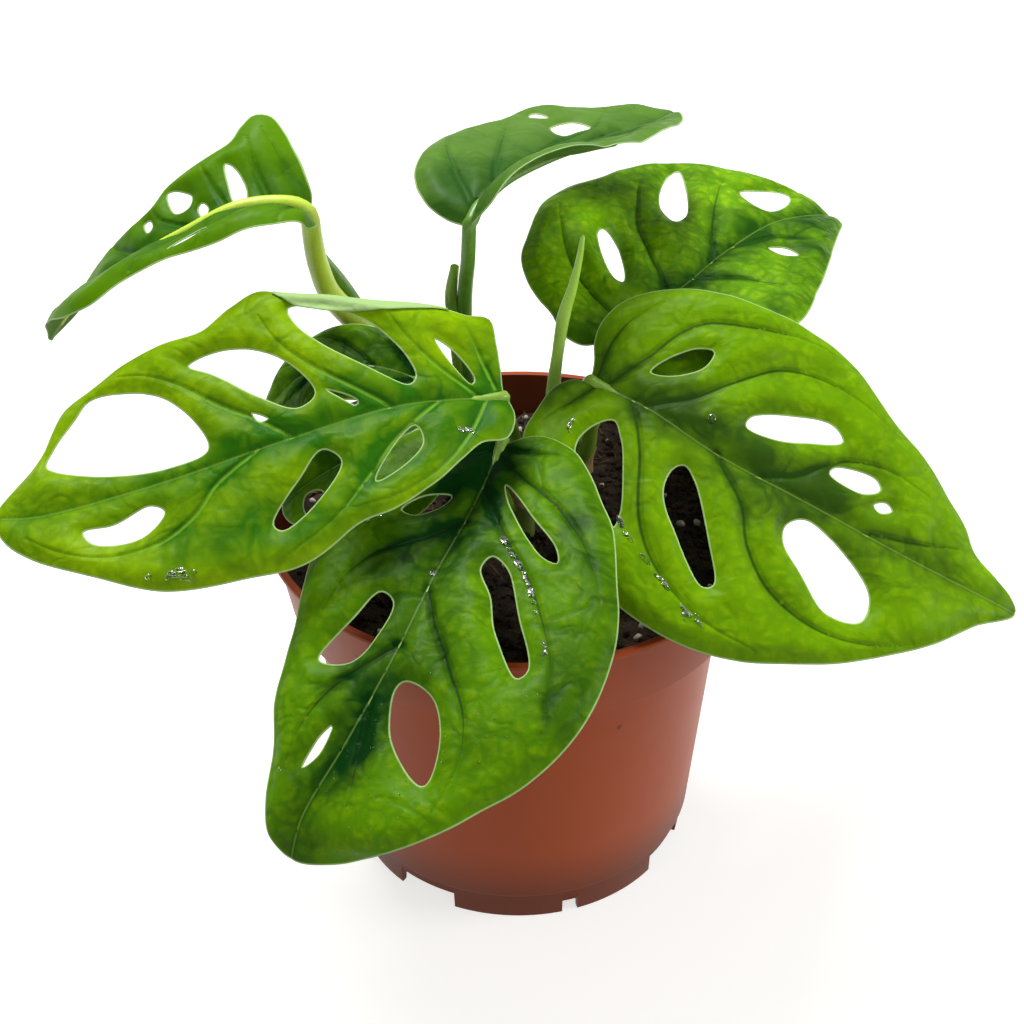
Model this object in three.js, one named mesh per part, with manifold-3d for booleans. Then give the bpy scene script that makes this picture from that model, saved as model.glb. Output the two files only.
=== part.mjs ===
// A potted swiss cheese plant (Monstera adansonii): nine leaves on three short stems,
// in soil, in a round 12 cm plastic nursery pot.
// Millimetres, +Z up. The origin is the centre of the pot's base, on the surface it stands on.
// The plant faces -Y, with +X to its right.
import * as THREE from 'three';
import { mergeVertices } from 'three/addons/utils/BufferGeometryUtils.js';
import Module from 'manifold-3d';

const wasm = await Module();
wasm.setup();

// Driving dimensions

// Clear space kept between neighbouring pieces.
const GAP = 0.3;

// How far a cutting block reaches past what it cuts.
const CUT_OVERSHOOT = 1.5;

// Pot: a thin-walled moulded pot with a wide band and a thin lip round its mouth. Its base has
// a raised drainage channel between the middle and the foot ring. A draft is how far a wall
// leans from its foot to its top.
const POT = {
  height: 95,
  lipRadius: 60,
  mouthRadius: 58.2,
  bandTopRadius: 58.7,
  bandBottomRadius: 55,
  bandBottomHeight: 74.7,
  bandStepFall: 0.2,
  bodyTopRadius: 49.9,
  bodyBottomRadius: 43.5,
  bodyBottomHeight: 8.5,
  cornerRun: 1.3,
  cornerRise: 1.8,
  footHeight: 8,
  footRadius: 41.8,
  footInnerRadius: 40.2,
  footDraft: 0.4,
  channelInnerRadius: 30.5,
  channelHeight: 6,
  channelDraft: 1.5,
  wall: 1.2,
  sides: 40,
};
const POT_LIP = { height: 1.4, groove: 0.5, grooveWidth: 0.6, round: 0.35 };
// Notches through the foot ring let the water out. Angles are degrees round from +X.
const WIDE_NOTCH = { angles: [-124, -28, 62, 152], width: 16, height: 5 };
const SMALL_NOTCH = { angles: [-73, 17, 107, 197], width: 4, height: 4 };
const DRAIN_HOLE = { count: 8, radius: 2.5, ringRadius: 35, firstAngle: 11.25, sides: 8 };

// Soil: fills the pot to about 10 mm under the rim, with a slightly lumpy top. Each wave of
// its surface has a height, radians a millimetre along X and along Y, and a starting angle.
const SOIL = {
  height: 85,
  lowestTop: 82.4,
  cornerRise: 2,
  rings: 4,
  sides: 40,
  waves: [[0.8, 0.21, 0.17, 0.9], [0.5, 0.11, -0.33, 0], [0.4, 0.47, 0.29, 1.6]],
};

// Stems: short upright vine stems with swollen joints, rooted in plain holes in the soil.
// The radii run evenly from the root to the cut top.
const STEM = {
  radii: [2.6, 3.2, 3.2, 3.9, 3.2, 3.2, 3.9, 3.2, 2.4],
  sides: 8,
  steps: 12,
  footHeight: 62,
  bow: 0.3,
};
const STEMS = [
  { name: 'stem_front', at: [1, 3], lean: [0.5, -1], top: 107 },
  { name: 'stem_right', at: [13.5, 15], lean: [1, -0.5], top: 106 },
  { name: 'stem_back', at: [-13, 29], lean: [-1.5, 0.5], top: 108 },
];

// Leaf blades: thin solids whose triangles are about this fine. The margin and the hole rims
// are drawn with points this far apart, and no other point comes closer to them than clear.
const BLADE = { thickness: 0.8, grid: 6.4, marginStep: 5, holeStep: 4, clear: 2.2 };
const LINE_DIVISIONS = 400;
const FEWEST_LINE_POINTS = 8;
const MARGIN_ROUNDS = 6;
// A hair's shift keeps four grid points from ever lying on one circle.
const SHAKE = 1e-4;
const SHAKE_TURNS = [12.9, 7.7];

// Midribs stand out under the blade. Petioles are the leaf stalks, which run into the midribs.
const MIDRIB = { share: 0.9, sink: 0.45, radii: [0.8, 0.7, 0.55], sides: 4, steps: 9, places: 8 };
const MIDRIB_SECOND_SHARE = 0.8;
const PETIOLE = { sides: 6, step: 8, fewestSteps: 6, entry: 5 };

// Each leaf is drawn flat and then bent. Flat points are (along, across): millimetres along the
// midrib from the petiole, and across it, positive to the right of a leaf seen from above.
// rib:      the midrib in space, from the petiole to the tip.
// roll:     degrees that the blade is rolled about its midrib, from base to tip.
// right:    the half across > 0. fold is the angle in degrees at which it leaves the midrib,
// left:     and curl how fast it then bends upwards, in radians a millimetre. Same for across < 0.
// petiole:  the leaf stalk from its stem, ending at the start of the rib.
const LEAVES = [
  {
    name: 'leaf_front_left',
    rib: [[-2.5, -19, 138], [-25.5, -27, 141], [-51, -34, 136.5], [-75, -38, 129.5],
      [-100.5, -40, 122.5], [-113.5, -39, 120.5]],
    roll: [26, 30, 30, 26, 22],
    right: { fold: [8, 5, 0], curl: [-0.004, -0.006, -0.004] },
    left: { fold: [8, 5, 0], curl: [-0.006, -0.008, -0.006] },
    outline: [[116.5, 0], [112, 9.5], [105.5, 16.5], [99, 26], [91.5, 29.5], [84, 32.5], [73, 34],
      [60.5, 32.5], [53, 35.5], [45.5, 37], [39.5, 34], [30.5, 29.5], [23, 26], [11, 23.5],
      [4.5, 21], [-1, 19.5], [-1, 13], [-0.5, 6.5], [0, 1.5], [-1, -5], [2.5, -11], [8, -11.5],
      [13.5, -15], [20.5, -19.5], [31.5, -23], [41, -24], [53, -28.5], [66, -27.5], [81.5, -25],
      [96, -17], [105.5, -11.5], [114, -4.5]],
    holes: [
      [[92, 26.5], [75.5, 21.5], [67.5, 11], [66.5, 4], [76.5, 3], [89.5, 5.5], [101.5, 10],
        [104.5, 12.5], [102.5, 16], [96, 23]],
      [[66, 25.5], [56.5, 25.5], [45.5, 19], [40.5, 8], [45, 6], [52, 11], [61, 21]],
      [[40, 30], [31.5, 26.5], [23.5, 18], [19, 6.5], [21, 4.5], [29, 11], [39, 24]],
      [[38, 8], [32.5, 3.5], [33, 2.5], [36.5, 6]],
      [[55, 8.5], [52, 6], [54, 6]],
      [[13, 15], [9, 11], [6, 4.5], [7, 3.5], [11.5, 10.5]],
      [[96.5, -6.5], [90, -6.5], [81.5, -4.5], [78.5, -7], [84.5, -11.5], [94.5, -10]],
      [[57.5, -18], [49.5, -10], [43, -5], [40, -9], [47.5, -16.5], [56, -20]],
      [[34.5, -16], [28.5, -9.5], [22, -5.5], [21.5, -10], [26.5, -14]],
    ],
    petiole: [[1, 3, 97], [1.5, -2.5, 110], [0.5, -8.5, 125], [-1, -13.5, 133.5],
      [-2.5, -19, 138]],
    petioleRadius: [2, 1.5],
  },
  {
    name: 'leaf_front',
    rib: [[-3, -17, 125], [-9.5, -37, 121.5], [-18, -56, 116.5], [-25.5, -72, 109.5],
      [-35.5, -88, 99], [-44, -98, 89], [-47, -103, 80.5]],
    roll: [-4, -2, 0, 2, 4],
    right: { fold: [8, 5, 0], curl: [-0.008, -0.008, -0.006] },
    left: { fold: [8, 5, 0], curl: [-0.008, -0.008, -0.006] },
    outline: [[110, 0], [109, -7], [106, -14], [95.5, -23], [85, -31.5], [75.5, -38.5], [63, -43],
      [48.5, -43], [39, -41], [31.5, -37.5], [21, -32], [15.5, -27.5], [7.5, -22], [1.5, -17],
      [-1.5, -11.5], [-2, -6.5], [-0.5, -3], [1, 0], [-2, 4], [-3.5, 11], [-1, 18], [6, 25],
      [19, 29.5], [33, 30.5], [46.5, 28], [56.5, 26], [71, 22.5], [83.5, 19], [94.5, 13.5],
      [101, 9.5], [107.5, 5]],
    holes: [
      [[27.5, 14.5], [21.5, 11], [20, 5.5], [24, 6.5], [28, 10.5]],
      [[14, -5], [21.5, -13.5], [28.5, -22.5], [31.5, -24], [31, -20], [20, -8]],
      [[37.5, -9], [34, -10], [36.5, -15], [47.5, -22], [57, -28], [59, -26.5], [51.5, -18],
        [44, -14]],
      [[69.5, 15], [57.5, 12], [49.5, 9], [51, 5.5], [57, 5], [67.5, 8]],
      [[69.5, -4], [67, -5], [68, -12], [75, -18], [84, -20], [84, -16.5], [78.5, -8]],
      [[92.5, 6], [85.5, 6.5], [81.5, 4.5], [88.5, 3.5]],
    ],
    petiole: [[1, 3, 92], [-3.5, -3, 100], [-6, -9, 114], [-3, -17, 125]],
    petioleRadius: [2, 1.5],
  },
  {
    name: 'leaf_right',
    rib: [[17, -1, 130.5], [30, -11, 129], [45, -20, 122.5], [65, -28, 114.5],
      [86, -35, 105], [104.5, -39, 96], [112, -40, 92]],
    roll: [-24, -28, -28, -26, -24],
    right: { fold: [10, 6, 0], curl: [-0.008, -0.008, -0.006] },
    left: { fold: [8, 5, 0], curl: [-0.008, -0.008, -0.006] },
    outline: [[111, 0], [103, 7], [95, 16], [86.5, 23.5], [78, 30.5], [69.5, 35.5], [60.5, 40],
      [47.5, 43], [36, 42.5], [24, 38.5], [11, 33], [1, 27], [-4.5, 19.5], [-5.5, 13.5],
      [-6, 6], [-4, 2], [-0.5, 0], [-2, -4.5], [-5, -9], [-6.5, -14.5], [-5.5, -21],
      [-2, -26.5], [3.5, -31], [11, -33.5], [27.5, -38.5], [41.5, -40], [51.5, -38.5],
      [66, -30], [80.5, -24], [88, -19], [94, -14], [97.5, -9.5], [104, -6], [109, -3.5]],
    holes: [
      [[11.5, -8], [12, -11], [17, -18.5], [20, -20], [20.5, -15.5], [16, -9.5]],
      [[37, -9.5], [37, -12], [45, -17], [55, -20], [58.5, -17.5], [51.5, -13], [44.5, -10]],
      [[59, -9], [59.5, -11], [69, -13.5], [71, -11.5], [67.5, -8.5]],
      [[71, -7.5], [73.5, -9.5], [75.5, -8.5], [73, -6.5]],
      [[56.5, 11.5], [55.5, 7.5], [59, 4], [69, 6.5], [78.5, 13], [79, 19.5], [71.5, 21.5],
        [63.5, 16.5]],
      [[30, 14.5], [29, 8.5], [30.5, 6.5], [34, 8.5], [42.5, 19.5], [47.5, 28], [45.5, 29.5],
        [36, 21.5]],
      [[8, 16.5], [8, 12], [11.5, 7], [15, 9.5], [19.5, 14.5], [26, 24.5], [26.5, 28.5],
        [20, 27], [12, 22]],
    ],
    petiole: [[14, 13, 97], [17, 8, 106], [17.5, 6, 116], [16.5, 3, 126], [17, -1, 130.5]],
    petioleRadius: [2, 1.5],
  },
  {
    name: 'leaf_back_right',
    rib: [[22.5, 14, 132], [40, 33, 135], [51.5, 49, 135.5], [65.5, 66, 134.5],
      [79.5, 80, 129], [84, 85, 124.5]],
    roll: [-4, -6, -8],
    right: { fold: [8, 5, 0], curl: [-0.006, -0.006, -0.006] },
    left: { fold: [12, 8, 2], curl: [-0.004, -0.006, -0.006] },
    outline: [[96.5, 0], [93, 4], [86.5, 8], [72.5, 16], [57.5, 22.5], [47, 26], [32, 29.5],
      [18, 29.5], [6, 26.5], [-3, 20], [-7, 12], [-6, 5], [-2, 0], [-6.5, -4], [-7, -9],
      [-4, -15], [-1.5, -23], [2.5, -30], [6.5, -34.5], [12, -38], [25, -44], [40, -46],
      [52, -43], [63, -40.5], [71.5, -35], [79.5, -26.5], [86, -21.5], [91, -16.5],
      [93.5, -10.5], [95, -5]],
    holes: [
      [[28.5, -27], [33, -27.5], [25.5, -18.5], [17, -11], [16.5, -13.5], [22, -22]],
      [[67.5, -31.5], [62, -24], [51.5, -15.5], [47, -16], [49.5, -22], [59.5, -29]],
      [[72, -15], [78, -14], [87, -11], [80, -5.5], [71.5, -4.5], [70.5, -9]],
      [[55, 7], [58.5, 10], [58, 14], [55, 11.5]],
    ],
    petiole: [[14, 17, 97], [19, 15.5, 110], [20.5, 12, 124], [22.5, 14, 132]],
    petioleRadius: [2, 1.5],
  },
  {
    name: 'leaf_top',
    rib: [[-10, 8, 166], [-7.5, 14, 169.5], [-2, 24, 170], [7.5, 38, 167.5], [21, 56, 163],
      [32.5, 70, 159.5], [40.5, 80, 158.5]],
    roll: [10, 8, 5],
    right: { fold: [50, 33, 19, 17, 19, 22, 26], curl: [0.002, 0.002, 0] },
    left: { fold: [14, 8, 2], curl: [-0.004, -0.004, -0.004] },
    outline: [[90.5, 0], [84, 7], [74, 13], [60, 18], [44, 21], [28, 20.5], [14, 17], [4.5, 11],
      [0, 4.5], [-0.5, 0], [0, -5], [2, -9.5], [4.5, -13], [7, -16], [12.5, -19.5], [24, -24],
      [37.5, -27], [50, -25.5], [60, -27.5], [69, -28.5], [75, -23], [82, -17], [88.5, -11],
      [90, -5]],
    holes: [
      [[61.5, -23.5], [65, -24.5], [64.5, -20], [59, -20.5]],
      [[57, -13.5], [64, -14], [66, -12], [65, -7.5], [60, -6.5], [54, -7.5]],
      [[30, 6], [40, 11], [41, 16], [34, 14]],
      [[52, 6], [60, 9], [61, 13], [54, 11]],
    ],
    petiole: [[-11.5, 27, 98], [-12, 21, 118], [-11.5, 14, 143], [-10.5, 9.5, 156], [-10, 8, 166]],
    petioleRadius: [2, 1.6],
    // The petiole's papery wing stands free of it at the top.
    sheath: [[-13.2, 20, 120], [-13.8, 16.5, 135], [-14.6, 15, 144], [-13.6, 14, 152]],
    sheathRadius: [1.6, 1.2],
  },
  {
    name: 'leaf_top_left',
    rib: [[-46.5, 22, 160], [-51, 22, 163], [-62, 20, 163.5], [-74, 18, 159], [-88, 17, 152],
      [-102, 18, 140.5], [-109.5, 20, 130.5]],
    roll: [12, 10, 4, -6, -12],
    right: { fold: [18, 16, 10, 6, 2], curl: [-0.001, -0.002, -0.002] },
    left: { fold: [48, 46, 38, 26, 16], curl: [-0.045, -0.045, -0.035] },
    outline: [[76.5, 0], [73, 4.5], [67, 10.5], [60, 15.5], [52, 16.5], [43, 14.5], [38, 15], [33, 18],
      [26, 18], [20, 18], [16, 20], [13.5, 24], [11, 27], [8.5, 26.5], [6.5, 22], [5, 15],
      [3.5, 8.5], [0.5, 0], [-2, -5], [-2.5, -12], [1, -18.5], [9, -20.5], [15, -20.5],
      [23.5, -18.5], [33, -15.5], [42, -16.5], [50, -19.5], [57, -17], [65, -10], [72, -3.5]],
    holes: [
      [[17.5, 14], [16, 12], [14.5, 5], [15.5, 2], [17.5, 2.5], [18, 8]],
      [[33, 15.5], [26.5, 10], [28, 7.5], [32, 8]],
      [[26, 5.5], [24.5, 6.5], [23.5, 4], [25.5, 2.5]],
      [[41, 11], [39, 10.5], [38.5, 8], [40, 7]],
      [[22, -7], [30, -9], [34, -12], [26, -12]],
    ],
    petiole: [[-17, 31, 98], [-28, 34.5, 113.5], [-34.5, 34, 122.5], [-39, 33, 127.5],
      [-44, 31, 135.5], [-46, 27.5, 145.5], [-46.5, 24.5, 153.5], [-46.5, 22, 160]],
    petioleRadius: [2.2, 2.6, 3, 3, 2.8, 2.3, 2, 1.8],
    // This midrib lies proud of the blade, as a band that runs on from the petiole.
    midribRise: [1.2, 1, 0.5, 0, -0.3],
    // A second strand of the petiole runs behind it to the underside of the blade.
    sheath: [[-34.5, 35.5, 119.5], [-37, 37.5, 125.5], [-40, 38, 131.5], [-42, 36, 138],
      [-44.5, 33, 144], [-47.5, 29, 149.5], [-51, 25, 154.5], [-55, 21.5, 161]],
    sheathRadius: [1.5, 1.8, 1.8, 1.5, 1.3],
  },
  {
    name: 'leaf_shaded',
    rib: [[-18, 10, 122], [-29.5, 12, 126], [-41.5, 14, 126.5], [-51, 16, 121.5],
      [-60.5, 17, 111]],
    roll: [20, 20, 20],
    right: { fold: [6, 5, 0], curl: [-0.01, -0.01, -0.01] },
    left: { fold: [6, 5, 0], curl: [-0.01, -0.01, -0.01] },
    outline: [[50, 0], [45, 7], [38, 10.5], [28, 12], [17, 11], [8, 8], [0, 4], [0, -4],
      [8, -8.5], [21, -11], [33, -10.5], [43, -6]],
    holes: [],
    petiole: [[-15.5, 29, 97], [-19, 22, 105], [-19.5, 15, 115], [-18, 10, 122]],
    petioleRadius: [1.5, 1.1],
  },
  {
    name: 'leaf_rim',
    rib: [[-17.5, 2, 118], [-29, -2, 115.5], [-41, -7, 112], [-50, -9.5, 107], [-55, -11, 103]],
    roll: [10, 10, 10],
    right: { fold: [6, 5, 0], curl: [-0.01, -0.01, -0.01] },
    left: { fold: [6, 5, 0], curl: [-0.01, -0.01, -0.01] },
    outline: [[42.5, 0], [43, -4], [41, -9], [37, -15], [30, -20], [20, -23.5], [11, -22.5],
      [4, -18], [0, -11], [-2, -5], [0, 0], [-2, 5], [1, 11], [8, 15], [20, 16], [32, 12],
      [39, 6]],
    holes: [
      [[36, -2.5], [33, -3], [31.5, -5.5], [34, -9], [37.5, -8.5], [38, -5.5]],
    ],
    petiole: [[1, 4, 97], [-6, 6, 105], [-12, 5, 113], [-17.5, 2, 118]],
    petioleRadius: [1.5, 1.1],
  },
];

// The youngest leaf, still rolled up: a slender spear with its stalk.
const ROLLED_LEAF = {
  route: [[13, 14.5, 98], [9.5, 13, 110], [9, 12, 120], [10.8, 11, 138.5], [13, 10.5, 148],
    [14.6, 10, 156], [15.4, 9.5, 162]],
  radii: [1.7, 1.8, 1.8, 1.3, 1.5, 1, 0.45],
  sides: 6,
  steps: 14,
};

const COLORS = {
  pot: 0xb4583f,
  soil: 0x2b1f17,
  stem: 0x6d8a34,
  leaf: 0x4d8f1e,
  youngLeaf: 0x86b03c,
};
const ROUGHNESS = { pot: 0.45, soil: 0.95, stem: 0.55, leaf: 0.35 };

// Solids and meshes

// A closed geometry as a solid, with its shared vertices merged.
function toSolid(geometry) {
  const bare = geometry.clone();
  bare.deleteAttribute('normal');
  bare.deleteAttribute('uv');
  const merged = mergeVertices(bare, 1e-4);
  return new wasm.Manifold(new wasm.Mesh({
    numProp: 3,
    vertProperties: new Float32Array(merged.attributes.position.array),
    triVerts: new Uint32Array(merged.index.array),
  }));
}

// A named mesh from a solid.
function toMesh(name, solid, color, roughness) {
  const result = solid.getMesh();
  const geometry = new THREE.BufferGeometry();
  geometry.setAttribute('position', new THREE.BufferAttribute(result.vertProperties, 3));
  geometry.setIndex(new THREE.BufferAttribute(result.triVerts, 1));
  geometry.computeVertexNormals();
  const material = new THREE.MeshStandardMaterial({ color, roughness, metalness: 0 });
  const mesh = new THREE.Mesh(geometry, material);
  mesh.name = name;
  return mesh;
}

// What is left of a solid once other solids are cut from it.
function cutBy(solid, cutters) {
  return cutters.reduce((whole, cutter) => whole.subtract(cutter), solid);
}

// The value at a fraction of a list that is spread evenly from 0 to 1.
function valueAlong(list, fraction) {
  const place = THREE.MathUtils.clamp(fraction, 0, 1) * (list.length - 1);
  const start = Math.min(Math.floor(place), list.length - 2);
  return THREE.MathUtils.lerp(list[start], list[start + 1], place - start);
}

// A smooth curve through points in space.
function smoothCurve(points) {
  const curve = new THREE.CatmullRomCurve3(points.map((p) => new THREE.Vector3(...p)));
  curve.curveType = 'catmullrom';
  return curve;
}

// A closed round tube along a curve, whose radius follows a list from start to end.
function taperedTube(curve, radii, sides, steps, extraRadius = 0) {
  const frames = curve.computeFrenetFrames(steps, false);
  const positions = [];
  const faces = [];
  for (let i = 0; i <= steps; i++) {
    const centre = curve.getPointAt(i / steps);
    const radius = valueAlong(radii, i / steps) + extraRadius;
    for (let k = 0; k < sides; k++) {
      const angle = (2 * Math.PI * k) / sides;
      const point = centre.clone()
        .addScaledVector(frames.normals[i], radius * Math.cos(angle))
        .addScaledVector(frames.binormals[i], radius * Math.sin(angle));
      positions.push(point.x, point.y, point.z);
    }
  }
  for (let i = 0; i < steps; i++) {
    for (let k = 0; k < sides; k++) {
      const a = i * sides + k;
      const b = i * sides + ((k + 1) % sides);
      faces.push(a, b, a + sides, b, b + sides, a + sides);
    }
  }
  const last = steps * sides;
  for (let k = 1; k < sides - 1; k++) {
    faces.push(0, k + 1, k);
    faces.push(last, last + k, last + k + 1);
  }
  return indexedGeometry(positions, faces);
}

function indexedGeometry(positions, faces) {
  const geometry = new THREE.BufferGeometry();
  geometry.setAttribute('position', new THREE.Float32BufferAttribute(positions, 3));
  geometry.setIndex(faces);
  return geometry;
}

// A lathed solid standing on +Z from (radius, height) points.
function turned(points, sides) {
  const profile = points.map(([radius, height]) => new THREE.Vector2(radius, height));
  return new THREE.LatheGeometry(profile, sides).rotateX(Math.PI / 2);
}

// Pot

function potSolid() {
  const p = POT;
  const lip = POT_LIP;
  const lipFoot = p.height - lip.height;
  const outside = [
    [0, 0],
    [p.channelInnerRadius - p.channelDraft, 0],
    [p.channelInnerRadius, p.channelHeight],
    [p.footInnerRadius - p.footDraft, p.channelHeight],
    [p.footInnerRadius, 0],
    [p.footRadius, 0],
    [p.footRadius + p.footDraft, p.footHeight],
    [p.bodyBottomRadius, p.bodyBottomHeight],
    [p.bodyTopRadius, p.bandBottomHeight],
    [p.bandBottomRadius, p.bandBottomHeight],
    [p.bandTopRadius - lip.groove, lipFoot - lip.grooveWidth],
    [p.bandTopRadius, lipFoot],
    [p.lipRadius - lip.round, lipFoot],
    [p.lipRadius, lipFoot + lip.round],
    [p.lipRadius, p.height - lip.round],
    [p.lipRadius - lip.round, p.height],
  ];
  const channelTop = p.channelHeight + p.wall;
  const stepTop = p.bandBottomHeight + p.wall;
  const inside = [
    [p.mouthRadius + lip.round, p.height],
    [p.mouthRadius, p.height - lip.round],
    [p.bandBottomRadius - p.wall, stepTop + p.bandStepFall],
    [p.bodyTopRadius - p.wall, stepTop],
    [p.bodyBottomRadius - p.wall, channelTop + p.cornerRise],
    [p.bodyBottomRadius - p.wall - p.cornerRun, channelTop],
    [p.channelInnerRadius - p.wall, channelTop],
    [p.channelInnerRadius - p.channelDraft - p.wall, p.wall],
    [0, p.wall],
  ];
  return toSolid(turned([...outside, ...inside], p.sides));
}

// A block that cuts a notch in the foot ring at an angle.
function footNotch(angle, width, height) {
  const depth = POT.footRadius - POT.footInnerRadius + 2 * CUT_OVERSHOOT;
  const radius = (POT.footRadius + POT.footInnerRadius) / 2;
  const block = new THREE.BoxGeometry(depth, width, height + CUT_OVERSHOOT);
  block.translate(radius, 0, (height - CUT_OVERSHOOT) / 2);
  block.rotateZ(THREE.MathUtils.degToRad(angle));
  return toSolid(block);
}

// A drill that cuts one of the holes through the top of the drainage channel.
function drainDrill(index) {
  const { count, radius, ringRadius, firstAngle, sides } = DRAIN_HOLE;
  const length = 2 * (POT.wall + CUT_OVERSHOOT);
  const drill = new THREE.CylinderGeometry(radius, radius, length, sides);
  drill.rotateX(Math.PI / 2);
  drill.translate(ringRadius, 0, POT.channelHeight);
  drill.rotateZ(THREE.MathUtils.degToRad(firstAngle + (360 * index) / count));
  return toSolid(drill);
}

function potWithDrains() {
  const cutters = [WIDE_NOTCH, SMALL_NOTCH].flatMap((notch) => (
    notch.angles.map((angle) => footNotch(angle, notch.width, notch.height))));
  for (let i = 0; i < DRAIN_HOLE.count; i++) {
    cutters.push(drainDrill(i));
  }
  return cutBy(potSolid(), cutters);
}

// Soil

// The height of the soil's lumpy surface.
function soilHeight(x, y) {
  const lumps = SOIL.waves.map(([height, alongX, alongY, start]) => (
    height * Math.sin(alongX * x + alongY * y + start)));
  return SOIL.height + lumps.reduce((sum, lump) => sum + lump, 0);
}

// The soil fills the inside of the pot, a gap away from its wall.
function soilSolid() {
  const p = POT;
  const wall = p.wall + GAP;
  const channelTop = p.channelHeight + wall;
  const stepTop = p.bandBottomHeight + wall;
  const bandSlope = (p.mouthRadius + p.wall - p.bandBottomRadius) / (p.height - stepTop);
  const topRadius = p.bandBottomRadius - wall + bandSlope * (SOIL.lowestTop - stepTop - GAP);
  const profile = [
    [0, wall],
    [p.channelInnerRadius - p.channelDraft - wall, wall],
    [p.channelInnerRadius - wall, channelTop],
    [p.bodyBottomRadius - wall - p.cornerRun, channelTop],
    [p.bodyBottomRadius - wall, channelTop + SOIL.cornerRise],
    [p.bodyTopRadius - wall, stepTop],
    [p.bandBottomRadius - wall, stepTop + GAP],
    [topRadius, SOIL.lowestTop],
  ];
  for (let i = 1; i <= SOIL.rings; i++) {
    profile.push([topRadius * (1 - i / SOIL.rings), SOIL.height]);
  }
  const geometry = turned(profile, SOIL.sides);
  const position = geometry.attributes.position;
  for (let i = 0; i < position.count; i++) {
    if (position.getZ(i) > SOIL.lowestTop + GAP) {
      position.setZ(i, soilHeight(position.getX(i), position.getY(i)));
    }
  }
  return toSolid(geometry);
}

// Stems

// A stem with swollen joints. extra makes the larger one that cuts its clearance.
function stemSolid(stem, extra = 0) {
  const [x, y] = stem.at;
  const [leanX, leanY] = stem.lean;
  const curve = smoothCurve([
    [x, y, STEM.footHeight - extra],
    [x + leanX * STEM.bow, y + leanY * STEM.bow, (STEM.footHeight + stem.top) / 2],
    [x + leanX, y + leanY, stem.top + extra],
  ]);
  return toSolid(taperedTube(curve, STEM.radii, STEM.sides, STEM.steps, extra));
}

// Leaves

// The midrib's place, direction, right-hand side and upward side at a distance from the petiole.
function ribFrame(leaf, along) {
  const onRib = THREE.MathUtils.clamp(along / leaf.length, 0, 1);
  const tangent = leaf.curve.getTangentAt(onRib);
  const place = leaf.curve.getPointAt(onRib).addScaledVector(tangent, along - onRib * leaf.length);
  const right = tangent.clone().cross(new THREE.Vector3(0, 0, 1)).normalize();
  const roll = THREE.MathUtils.degToRad(valueAlong(leaf.roll, onRib));
  right.applyAxisAngle(tangent, -roll);
  const up = right.clone().cross(tangent);
  return { place, right, up };
}

// Where a flat point of the blade lies once the leaf is bent.
function bladePoint(leaf, along, across) {
  const { place, right, up } = ribFrame(leaf, along);
  const half = across < 0 ? leaf.left : leaf.right;
  const fold = THREE.MathUtils.degToRad(valueAlong(half.fold, along / leaf.length));
  const curl = valueAlong(half.curl, along / leaf.length) || 1e-6;
  const reach = Math.abs(across);
  const out = (Math.sin(fold + curl * reach) - Math.sin(fold)) / curl;
  const rise = (Math.cos(fold) - Math.cos(fold + curl * reach)) / curl;
  return place.addScaledVector(right, Math.sign(across) * out).addScaledVector(up, rise);
}

// The blade's upward normal at a flat point.
function bladeNormal(leaf, along, across) {
  const step = 0.5;
  const forward = bladePoint(leaf, along + step, across)
    .sub(bladePoint(leaf, along - step, across));
  const sideways = bladePoint(leaf, along, across + step)
    .sub(bladePoint(leaf, along, across - step));
  return sideways.cross(forward).normalize();
}

// Even points round a closed smooth line through a few flat points.
function closedLine(points, step) {
  const corners = points.map(([x, y]) => new THREE.Vector3(x, y, 0));
  const curve = new THREE.CatmullRomCurve3(corners, true, 'centripetal');
  curve.arcLengthDivisions = LINE_DIVISIONS;
  const count = Math.max(FEWEST_LINE_POINTS, Math.round(curve.getLength() / step));
  return curve.getSpacedPoints(count).slice(0, count).map((p) => new THREE.Vector2(p.x, p.y));
}

// Whether a flat point is inside a closed loop: a ray from it crosses the loop an odd number
// of times.
function isInside(point, loop) {
  let inside = false;
  loop.forEach((a, i) => {
    const b = loop[(i + 1) % loop.length];
    const crosses = (a.y > point.y) !== (b.y > point.y);
    if (crosses && point.x < ((b.x - a.x) * (point.y - a.y)) / (b.y - a.y) + a.x) {
      inside = !inside;
    }
  });
  return inside;
}

function isOnBlade(point, outline, holes) {
  return isInside(point, outline) && !holes.some((hole) => isInside(point, hole));
}

function distanceToLoop(point, loop) {
  const distances = loop.map((a, i) => {
    const edge = loop[(i + 1) % loop.length].clone().sub(a);
    const along = THREE.MathUtils.clamp(point.clone().sub(a).dot(edge) / edge.lengthSq(), 0, 1);
    return a.clone().addScaledVector(edge, along).distanceTo(point);
  });
  return Math.min(...distances);
}

// Grid points inside the blade, clear of its margin and holes, with a row on the midrib.
function gridPoints(outline, holes) {
  const points = [];
  const rowHeight = BLADE.grid * Math.sqrt(0.75);
  const box = new THREE.Box2().setFromPoints(outline);
  const rows = Math.ceil(box.getSize(new THREE.Vector2()).y / rowHeight);
  for (let row = -rows; row <= rows; row++) {
    const shift = row % 2 === 0 ? 0 : BLADE.grid / 2;
    for (let x = box.min.x + shift; x < box.max.x; x += BLADE.grid) {
      const point = new THREE.Vector2(x, row * rowHeight);
      const clear = [outline, ...holes].every((loop) => distanceToLoop(point, loop) > BLADE.clear);
      if (clear && isOnBlade(point, outline, holes)) {
        points.push(point);
      }
    }
  }
  return points;
}

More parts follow.
